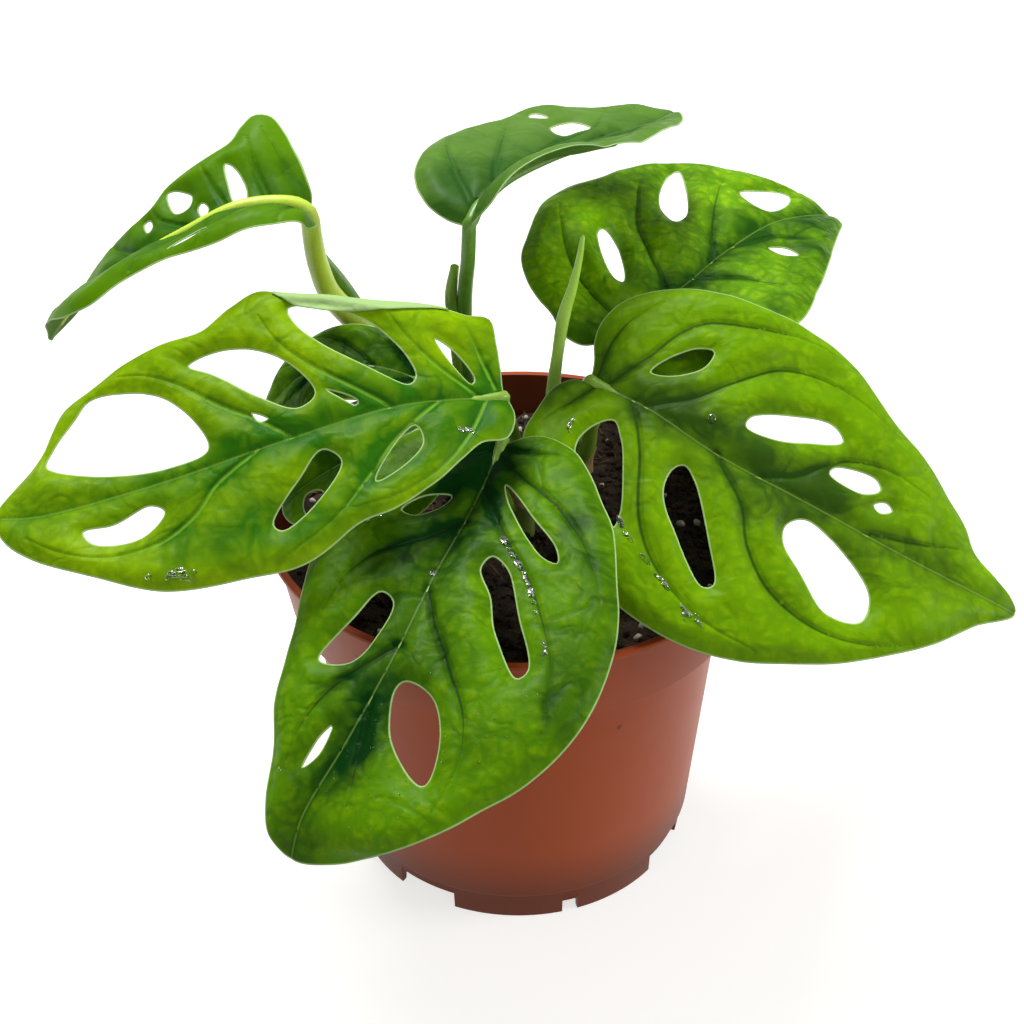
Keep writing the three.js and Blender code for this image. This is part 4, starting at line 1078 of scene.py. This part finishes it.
# The large leaf that reaches left, the brightest in the light. Its upper right margin is
# folded over and shows the pale underside as a narrow strip.
grow_leaf(
    "leaf_front_left", bright_lit_skin, petiole_green, 11,
    rib=((-2.5, -19, 138), (-25.5, -27, 141), (-51, -34, 136.5), (-75, -38, 129.5),
        (-100.5, -40, 122.5), (-113.5, -39, 120.5)),
    roll=(26, 30, 30, 26, 22),
    right=((8, 5, 0), (-0.004, -0.006, -0.004)),
    left=((8, 5, 0), (-0.006, -0.008, -0.006)),
    outline=((116.5, 0), (112, 9.5), (105.5, 16.5), (99, 26), (91.5, 29.5), (84, 32.5), (73, 34),
        (60.5, 32.5), (53, 35.5), (45.5, 37), (39.5, 34), (30.5, 29.5), (23, 26), (11, 23.5),
        (4.5, 21), (-1, 19.5), (-1, 13), (-0.5, 6.5), (0, 1.5), (-1, -5), (2.5, -11), (8, -11.5),
        (13.5, -15), (20.5, -19.5), (31.5, -23), (41, -24), (53, -28.5), (66, -27.5), (81.5, -25),
        (96, -17), (105.5, -11.5), (114, -4.5)),
    holes=(((92, 26.5), (75.5, 21.5), (67.5, 11), (66.5, 4), (76.5, 3), (89.5, 5.5), (101.5, 10),
        (104.5, 12.5), (102.5, 16), (96, 23)), ((66, 25.5), (56.5, 25.5), (45.5, 19), (40.5, 8),
        (45, 6), (52, 11), (61, 21)), ((40, 30), (31.5, 26.5), (23.5, 18), (19, 6.5), (21, 4.5),
        (29, 11), (39, 24)), ((38, 8), (32.5, 3.5), (33, 2.5), (36.5, 6)), ((55, 8.5), (52, 6),
        (54, 6)), ((13, 15), (9, 11), (6, 4.5), (7, 3.5), (11.5, 10.5)), ((96.5, -6.5), (90, -6.5),
        (81.5, -4.5), (78.5, -7), (84.5, -11.5), (94.5, -10)), ((57.5, -18), (49.5, -10), (43, -5),
        (40, -9), (47.5, -16.5), (56, -20)), ((34.5, -16), (28.5, -9.5), (22, -5.5), (21.5, -10),
        (26.5, -14))),
    veins=(((5, -1.5), (11, -10), (19, -17), (29, -20.5), (40, -21)), ((18, -2), (28, -8.5),
        (36, -15), (45, -21.5), (56, -26)), ((58, -1), (66, -4.5), (72, -10), (80, -14),
        (90, -14.5), (100, -11.5), (108, -6)), ((2, 2), (4, 10), (6, 18)), ((8, 2), (14, 8),
        (19, 15), (22, 22)), ((28, 2), (34, 8), (40, 15), (45, 23), (47, 30)), ((50, 2), (56, 8),
        (62, 13.5), (68, 20), (76, 26), (84, 29))),
    petiole=((1, 3, 97), (1, -2.5, 110), (-1, -8.5, 124), (-2.5, -13.5, 132.5), (-2.5, -19, 138)),
    petiole_radii=(2, 1.4, 1.2, 1.3),
    fold=(((41.8, 35.3), (38.8, 33.5), (30.6, 29.4), (23.2, 25.8), (17, 24.5), (11.3, 23.5),
        (8.5, 22.6)), (0.6, 3.2, 4, 3.4, 2.8, 1.8, 0.4)),
    # Painted shade over the lower half, turned from the light, and beside the midrib; a painted
    # lit band near the lower margin.
    shades=((((8, -8), (18, -10), (26, -12), (35, -12)), 8, -0.45), (((30, -16), (45, -20),
        (62, -17), (76, -18)), 14, -0.75), (((46, 2), (60, 2)), 9, -0.2), (((28, -22), (40, -27),
        (55, -28)), 4, 0.35)),
    wet=((((10, -8.5), (15, -8.5)), 0.9, 7, (0.3, 0.6)), (((75, -24), (84, -20.5)), 0.9, 12,
        (0.3, 0.7))))


# The large leaf that hangs over the pot's rim towards the front. It is the darkest, with painted
# shade under the left leaf, and beads of water in a trail beside a hole and fine drops near its
# tip.
grow_leaf(
    "leaf_front", deep_shaded_skin, petiole_green, 12,
    rib=((-3, -17, 125), (-9.5, -37, 121.5), (-18, -56, 116.5), (-25.5, -72, 109.5),
        (-35.5, -88, 99), (-44, -98, 89), (-47, -103, 80.5)),
    roll=(-4, -2, 0, 2, 4),
    right=((8, 5, 0), (-0.008, -0.008, -0.006)),
    left=((8, 5, 0), (-0.008, -0.008, -0.006)),
    outline=((110, 0), (109, -7), (106, -14), (95.5, -23), (85, -31.5), (75.5, -38.5), (63, -43),
        (48.5, -43), (39, -41), (31.5, -37.5), (21, -32), (15.5, -27.5), (7.5, -22), (1.5, -17),
        (-1.5, -11.5), (-2, -6.5), (-0.5, -3), (1, 0), (-2, 4), (-3.5, 11), (-1, 18), (6, 25),
        (19, 29.5), (33, 30.5), (46.5, 28), (56.5, 26), (71, 22.5), (83.5, 19), (94.5, 13.5),
        (101, 9.5), (107.5, 5)),
    holes=(((27.5, 14.5), (21.5, 11), (20, 5.5), (24, 6.5), (28, 10.5)), ((14, -5), (21.5, -13.5),
        (28.5, -22.5), (31.5, -24), (31, -20), (20, -8)), ((37.5, -9), (34, -10), (36.5, -15),
        (47.5, -22), (57, -28), (59, -26.5), (51.5, -18), (44, -14)), ((69.5, 15), (57.5, 12),
        (49.5, 9), (51, 5.5), (57, 5), (67.5, 8)), ((69.5, -4), (67, -5), (68, -12), (75, -18),
        (84, -20), (84, -16.5), (78.5, -8)), ((92.5, 5.8), (85.5, 6), (81.5, 4.6), (88.5, 4))),
    veins=(((3, -2), (4, -9), (5, -17)), ((7, -2), (13, -10), (19, -19), (26, -27.5), (34, -34),
        (42, -38.5)), ((17, -1.5), (24, -6.5), (31, -13), (38, -20.5), (47, -27), (57, -33),
        (68, -37)), ((47, -1), (54, -5.5), (62, -13), (69, -20), (77, -24), (87, -25)),
        ((74, -0.5), (84, -4), (94, -9)), ((4, 1.5), (8, 9), (14, 17), (22, 24)), ((28, 1.5),
        (34, 7), (40, 14), (48, 18), (58, 19)), ((62, 1.5), (68, 5.5), (75, 9), (85, 10.5),
        (93, 9))),
    petiole=((1, 3, 92), (-3.5, -3, 100), (-6, -9, 114), (-3, -17, 125)),
    # Painted shadow of the left leaf on the upper left, painted shade on the right lobe and near
    # the tip's midrib, and a painted sheen beside the midrib.
    shades=((((6, 6), (16, 10), (30, 12), (40, 14)), 14, -0.5), (((20, -26), (30, -30), (40, -37),
        (60, -38)), 12, -0.45), (((50, -3), (60, -4)), 8, 0.25), (((66, -2), (80, -2),
        (92, -1)), 8, -0.2)),
    wet=((((28.9, -10.3), (33.6, -14.9), (38.2, -20), (42.3, -22.9), (46.7, -26.2), (51.6, -29.3),
        (55.2, -32.1)), 0.35, 24, (0.25, 0.85)), (((41, 0.3), (43, 0.6)), 0.2, 3, (0.3, 0.5)),
        (((30, 17), (36, 22)), 1.6, 8, (0.3, 0.7)), (((66, -26), (80, -12), (90, 0)), 12, 90,
        (0.1, 0.2))))


# The large leaf that reaches right, with the strongest quilting and a trail of water. A
# single round drop lies near its midrib.
grow_leaf(
    "leaf_right", fresh_skin, petiole_green, 13,
    rib=((17, -1, 130.5), (30, -11, 129), (45, -20, 122.5), (65, -28, 114.5), (86, -35, 105),
        (104.5, -39, 96), (112, -40, 92)),
    roll=(-24, -28, -28, -26, -24),
    right=((10, 6, 0), (-0.008, -0.008, -0.006)),
    left=((8, 5, 0), (-0.008, -0.008, -0.006)),
    outline=((111, 0), (103, 7), (95, 16), (86.5, 23.5), (78, 30.5), (69.5, 35.5), (60.5, 40),
        (47.5, 43), (36, 42.5), (24, 38.5), (11, 33), (1, 27), (-4.5, 19.5), (-5.5, 13.5), (-6, 6),
        (-4, 2), (-0.5, 0), (-2, -4.5), (-5, -9), (-6.5, -14.5), (-5.5, -21), (-2, -26.5),
        (3.5, -31), (11, -33.5), (27.5, -38.5), (41.5, -40), (51.5, -38.5), (66, -30), (80.5, -24),
        (88, -19), (94, -14), (97.5, -9.5), (104, -6), (109, -3.5)),
    holes=(((11.5, -8), (12, -11), (17, -18.5), (20, -20), (20.5, -15.5), (16, -9.5)), ((37, -9.5),
        (37, -12), (45, -17), (55, -20), (58.5, -17.5), (51.5, -13), (44.5, -10)), ((59, -9),
        (59.5, -11), (69, -13.5), (71, -11.5), (67.5, -8.5)), ((71, -7.5), (73.5, -9.5),
        (75.5, -8.5), (73, -6.5)), ((56.5, 11.5), (55.5, 7.5), (59, 4), (69, 6.5), (78.5, 13),
        (79, 19.5), (71.5, 21.5), (63.5, 16.5)), ((30, 14.5), (29, 8.5), (30.5, 6.5), (34, 8.5),
        (42.5, 19.5), (47.5, 28), (45.5, 29.5), (36, 21.5)), ((8, 16.5), (8, 12), (11.5, 7),
        (15, 9.5), (19.5, 14.5), (26, 24.5), (26.5, 28.5), (20, 27), (12, 22))),
    veins=(((1, -2), (-1, -10), (0, -18), (4, -25)), ((5, -2), (9, -11), (12, -20), (18, -27),
        (29, -33), (42, -36.5), (55, -36)), ((17, -1.5), (23, -8), (28, -16), (35, -24),
        (45, -28.5), (57, -28.5), (70, -25)), ((47, -1), (53, -4.5), (57, -9.5), (62, -14),
        (71, -16.5), (82, -15.5)), ((74, -1), (84, -4), (94, -7.5)), ((2, 2), (0, 9), (-2, 16)),
        ((14, 2.5), (22, 11.5), (30, 24), (38, 32), (49, 36.5), (62, 37)), ((37, 2), (45, 8.5),
        (50, 16.5), (58, 23), (69, 26), (80, 24.5), (90, 19), (100, 9.5))),
    petiole=((14, 13, 97), (17, 8, 106), (17.5, 6, 116), (16.5, 3, 126), (17, -1, 130.5)),
    # Painted light on the near half's base, and painted shade beside the midrib on the far half.
    shades=((((4, 6), (14, 9), (26, 10), (36, 12)), 10, 0.4), (((20, -6), (40, -6),
        (60, -5)), 11, -0.45)),
    wet=((((24, 24), (30, 28.5), (36, 31.5), (43, 35), (50, 38.5)), 0.35, 20, (0.3, 0.7)),
        (((45, 36), (51, 39)), 1.2, 8, (0.3, 0.7)), (((4, 12), (6, 17)), 0.3, 7, (0.25, 0.5)),
        (((29.2, -6),), 0, 1, (1, 1.05))))


# The large leaf behind on the right. It is mottled all over, painted lighter at its left edge,
# as light, and darker over its right half, as shade.
grow_leaf(
    "leaf_back_right", mottled_skin, petiole_green, 14,
    rib=((22.5, 14, 132), (40, 33, 135), (51.5, 49, 135.5), (65.5, 66, 134.5), (79.5, 80, 129),
        (84, 85, 124.5)),
    roll=(-4, -6, -8),
    right=((8, 5, 0), (-0.006, -0.006, -0.006)),
    left=((12, 8, 2), (-0.004, -0.006, -0.006)),
    outline=((96.5, 0), (93, 4), (86.5, 8), (72.5, 16), (57.5, 22.5), (47, 26), (32, 29.5),
        (18, 29.5), (6, 26.5), (-3, 20), (-7, 12), (-6, 5), (-2, 0), (-6.5, -4), (-7, -9),
        (-4, -15), (-1.5, -23), (2.5, -30), (6.5, -34.5), (12, -38), (25, -44), (40, -46),
        (52, -43), (63, -40.5), (71.5, -35), (79.5, -26.5), (86, -21.5), (91, -16.5),
        (93.5, -10.5), (95, -5)),
    holes=(((28.5, -27), (33, -27.5), (25.5, -18.5), (17, -11), (16.5, -13.5), (22, -22)),
        ((67.5, -31.5), (62, -24), (51.5, -15.5), (47, -16), (49.5, -22), (59.5, -29)), ((72, -15),
        (78, -14), (87, -11), (80, -5.5), (71.5, -4.5), (70.5, -9)), ((55, 7), (58.5, 10),
        (58, 14), (55, 11.5))),
    veins=(((6, -2), (8, -14), (14, -26), (24, -36), (34, -41)), ((22, -2), (30, -12), (40, -22),
        (52, -31), (63, -37)), ((42, -1.5), (52, -8), (63, -15), (73, -21), (80, -22)), ((8, 2),
        (12, 12), (18, 22)), ((32, 2), (37, 10), (40, 19), (46, 24)), ((52, 1.5), (60, 5),
        (66, 11), (74, 13))),
    petiole=((14, 17, 97), (19, 15.5, 110), (20.5, 12, 124), (22.5, 14, 132)),
    # Painted light at the left edge and painted shade over the right half and the far right.
    shades=((((4, -22), (14, -30), (30, -40)), 22, 1.0), (((16, 14), (33, 22), (50, 22), (70, 13),
        (86, 3)), 20, -1.1), (((50, -40), (64, -32), (84, -14)), 14, -0.5)))


# The highest leaf. Its near half is turned up on edge, so that its upper face looks back. The
# open sheath of a younger leaf stands beside its petiole.
STRAND_SIDES = 16


def add_strand(name, node, skin, radii, route):
    """A stalk of its own that stands beside a leaf's petiole."""
    line = evenly(route, STALK_STEP)
    mesh = plant_mesh(name, (), line, value_along(radii, np.linspace(0, 1, len(line))))
    grown(name, mesh, node, STRAND_SIDES, skin, skin)


grow_leaf(
    "leaf_top", greyish_sheen_skin, petiole_dark, 15,
    rib=((-10, 8, 166), (-7.5, 14, 169.5), (-2, 24, 170), (7.5, 38, 167.5), (21, 56, 163),
        (32.5, 70, 159.5), (40.5, 80, 158.5)),
    roll=(10, 8, 5),
    right=((46, 28, 14, 12, 14, 17, 21), (0.002, 0.002, 0)),
    left=((14, 8, 2), (-0.004, -0.004, -0.004)),
    outline=((90.5, 0), (84, 7), (74, 13), (60, 18), (44, 21), (28, 20.5), (14, 17), (4.5, 11),
        (0, 4.5), (-0.5, 0), (0, -5), (2, -9.5), (4.5, -13), (7, -16), (12.5, -19.5), (24, -24),
        (37.5, -27), (50, -25.5), (60, -27.5), (69, -28.5), (75, -23), (82, -17), (88.5, -11),
        (90, -5)),
    holes=(((61.5, -23.5), (65, -24.5), (64.5, -20), (59, -20.5)), ((57, -13.5), (64, -14),
        (66, -12), (65, -7.5), (60, -6.5), (54, -7.5)), ((30, 6), (40, 11), (41, 16), (34, 14)),
        ((52, 6), (60, 9), (61, 13), (54, 11))),
    veins=(((6, -2), (14, -10), (22, -18), (30, -23)), ((18, -2), (30, -9), (42, -16), (52, -22)),
        ((36, -1.5), (48, -4.5), (60, -5), (72, -9), (80, -14)), ((8, 1.5), (16, 8), (26, 15)),
        ((24, 1.5), (36, 7.5), (48, 14), (56, 17)), ((44, 1.5), (56, 5), (66, 9), (74, 11)),
        ((64, 1.5), (74, 5), (82, 7))),
    petiole=((-11.5, 27, 98), (-12, 21, 118), (-11.5, 14, 143), (-10.5, 9.5, 156), (-10, 8, 166)),
    petiole_radii=(2, 1.6),
    # Painted shade near the base of the left half.
    shades=((((4, -8), (14, -12)), 12, -0.5),))
add_strand("open_sheath_on_leaf_top", "leaf_top", petiole_green, (1.6, 1.9, 1.7, 1),
           ((-13.2, 20, 120), (-13.8, 16.5, 135), (-14.6, 15, 144), (-13.6, 14, 152)))


# The leaf at the top left, which arches over from a broad, pale petiole, painted brighter as
# light glowing through it. Beside the strap of its petiole runs the rounder back of the same
# sheath, darker in painted shade.
grow_leaf(
    "leaf_top_left", smooth_skin, pale_petiole_with_painted_glow, 16,
    rib=((-46.5, 22, 160), (-51, 22, 163), (-62, 20, 163.5), (-74, 18, 159), (-88, 17, 152),
        (-102, 18, 140.5), (-109.5, 20, 130.5)),
    roll=(12, 10, 4, -6, -12),
    right=((18, 16, 10, 6, 2), (-0.001, -0.002, -0.002)),
    left=((48, 46, 38, 26, 16), (-0.045, -0.045, -0.035)),
    outline=((76.5, 0), (73, 4.5), (67, 10.5), (60, 15.5), (52, 16.5), (43, 14.5), (38, 15),
        (33, 18), (26, 18), (20, 18), (16, 20), (13.5, 24), (11, 27), (8.5, 26.5), (6.5, 22),
        (5, 15), (3.5, 8.5), (0.5, 0), (-0.5, -4), (0, -9), (3, -13.5), (9, -16), (15, -17),
        (23.5, -17.5), (33, -15.5), (42, -16.5), (50, -19.5), (57, -17), (65, -10), (72, -3.5)),
    holes=(((17.5, 14), (16, 12), (14.5, 5), (15.5, 2), (17.5, 2.5), (18, 8)), ((33, 15.5),
        (26.5, 10), (28, 7.5), (32, 8)), ((26, 5.5), (24.5, 6.5), (23.5, 4), (25.5, 2.5)),
        ((41, 11), (39, 10.5), (38.5, 8), (40, 7)), ((24, -8.5), (30.5, -9.8), (33, -11.5),
        (26, -10.8))),
    veins=(((4, -2), (8, -10), (11, -18)), ((12, -2), (20, -9), (26, -16)), ((26, -2), (34, -8),
        (41, -15)), ((40, -2), (48, -8), (55, -15)), ((54, -1.5), (62, -7), (67, -8)), ((3, 2),
        (7, 12), (10, 22)), ((10, 2), (12, 10), (13, 20)), ((19.5, 2), (21, 9), (22, 16)),
        ((30, 2), (36, 8), (38, 14)), ((44, 2), (50, 9), (54, 15)), ((58, 2), (64, 7), (69, 9))),
    petiole=((-17, 31, 98), (-28, 34.5, 113.5), (-34.5, 34, 122.5), (-39, 33, 127.5),
        (-44, 31, 135.5), (-46, 27.5, 145.5), (-46.5, 24.5, 153.5), (-46.5, 22, 160)),
    petiole_radii=(2.4, 2.9, 3.3, 3.2, 2.9, 2.6, 2.4, 2.2),
    midrib_radii=(1.9, 1.4, 0.9, 0.6, 0.4),
    midrib_rise=(1.2, 1, 0.5, 0, -0.3))
add_strand("sheath_back_on_leaf_top_left", "leaf_top_left", petiole_dark, (1.5, 1.8, 1.8, 1.3),
           ((-34.5, 35.5, 119.5), (-37, 37.5, 125.5), (-40, 37.5, 131.5), (-42.5, 34.5, 138),
            (-45, 30, 145.5)))


# A small whole leaf in the shade of the large left one. It has no holes yet, as the young
# plant's first leaves have none.
grow_leaf(
    "leaf_shaded", deep_shaded_skin, petiole_dark, 17,
    rib=((-18, 10, 122), (-29.5, 12, 126), (-41.5, 14, 126.5), (-51, 16, 121.5), (-60.5, 17, 111)),
    roll=(20, 20, 20),
    right=((6, 5, 0), (-0.01, -0.01, -0.01)),
    left=((6, 5, 0), (-0.01, -0.01, -0.01)),
    outline=((50, 0), (45, 7), (38, 10.5), (28, 12), (17, 11), (8, 8), (0, 4), (0, -4), (8, -8.5),
        (21, -11), (33, -10.5), (43, -6)),
    veins=(((6, -1), (13, -6), (20, -10)), ((18, -1), (26, -6), (34, -9.5)), ((30, -1), (37, -4.5),
        (44, -5)), ((6, 1), (13, 6), (20, 10.5)), ((18, 1), (26, 7), (34, 10.5)), ((30, 1),
        (37, 5), (44, 6))),
    petiole=((-15.5, 29, 97), (-19, 22, 105), (-19.5, 15, 115), (-18, 10, 122)),
    petiole_radii=(1.5, 1.1))


# A small leaf low over the rim, wet with many droplets. It shows through the holes of the
# large left leaf.
grow_leaf(
    "leaf_rim", deep_shaded_skin, petiole_green, 18,
    rib=((-17.5, 2, 118), (-29, -2, 115.5), (-41, -7, 112), (-50, -9.5, 107), (-55, -11, 103)),
    roll=(10, 10, 10),
    right=((6, 5, 0), (-0.01, -0.01, -0.01)),
    left=((6, 5, 0), (-0.01, -0.01, -0.01)),
    outline=((42.5, 0), (43, -4), (41, -9), (37, -15), (30, -20), (20, -23.5), (11, -22.5),
        (4, -18), (0, -11), (-2, -5), (0, 0), (-2, 5), (1, 11), (8, 15), (20, 16), (32, 12),
        (39, 6)),
    holes=(((36, -2.5), (33, -3), (31.5, -5.5), (34, -9), (37.5, -8.5), (38, -5.5)),),
    veins=(((5, -2), (10, -11), (16, -20)), ((16, -1.5), (22, -8), (26, -17)), ((5, 2), (10, 8),
        (16, 14)), ((18, 1.5), (25, 7), (31, 11))),
    petiole=((1, 4, 97), (-6, 6, 105), (-12, 5, 113), (-17.5, 2, 118)),
    petiole_radii=(1.5, 1.1),
    wet=((((28, -12), (35, -16)), 2.6, 26, (0.25, 0.6)), (((10, 2), (20, 4)), 1.5, 8,
        (0.25, 0.6))))


# The youngest leaf: still rolled into a spear, with the seam of its roll winding up it. At the
# seam the outer edge of the roll steps down to the layer under it.
ROLLED_ROUTE = ((13, 14.5, 98), (9.5, 13, 110), (9, 12, 120), (10.8, 11, 138.5),
                (13, 10.5, 148), (14.6, 10, 156), (15.4, 9.5, 162))
ROLLED_RADII = (1.7, 1.8, 1.8, 1.3, 1.5, 1, 0.45)
ROLLED_SIDES = 40
ROLLED_SPACING = 0.6
ROLLED_STEP = 0.22
ROLLED_SHARP = 60
TIP_SHARE = 0.4
SEAM_TURNS = 1.1
SEAM_START = 0.9

spear = evenly(ROLLED_ROUTE, ROLLED_SPACING)
ahead = unit(np.gradient(spear, axis=0))
across = unit(np.cross(ahead[0], (0, 1.0, 0)))
turns = np.linspace(0, 1, ROLLED_SIDES, endpoint=False)
step = ROLLED_STEP * np.minimum(turns / SEAM_START, (1 - turns) / (1 - SEAM_START))
spear_points, spear_faces = [], []
for i, share in enumerate(np.linspace(0, 1, len(spear))):
    if i:
        across = unit(across - ahead[i] * (across @ ahead[i]))
    beyond = np.cross(ahead[i], across)
    radius = value_along(ROLLED_RADII, share) - ROLLED_STEP / 2
    if i == len(spear) - 1:
        radius *= TIP_SHARE
    angle = 2 * math.pi * (turns + SEAM_TURNS * share)[:, None]
    spear_points += [*(spear[i] + (radius + step)[:, None] * (np.cos(angle) * across
                                                              + np.sin(angle) * beyond))]
top = (len(spear) - 1) * ROLLED_SIDES
for start in range(0, top, ROLLED_SIDES):
    for k in range(ROLLED_SIDES):
        a, b = start + k, start + (k + 1) % ROLLED_SIDES
        spear_faces.append((a, b, b + ROLLED_SIDES, a + ROLLED_SIDES))
spear_faces.append(tuple(range(ROLLED_SIDES - 1, -1, -1)))
spear_faces.append(tuple(range(top, top + ROLLED_SIDES)))
rolled = link("rolled_young_leaf",
              mesh_of("rolled_young_leaf", spear_points, spear_faces, ROLLED_SHARP),
              material("waxy_young_leaf", stalk_skin, "#a4dc34", "#c8f070", "#74a828"))
keep(rolled, "rolled_leaf")
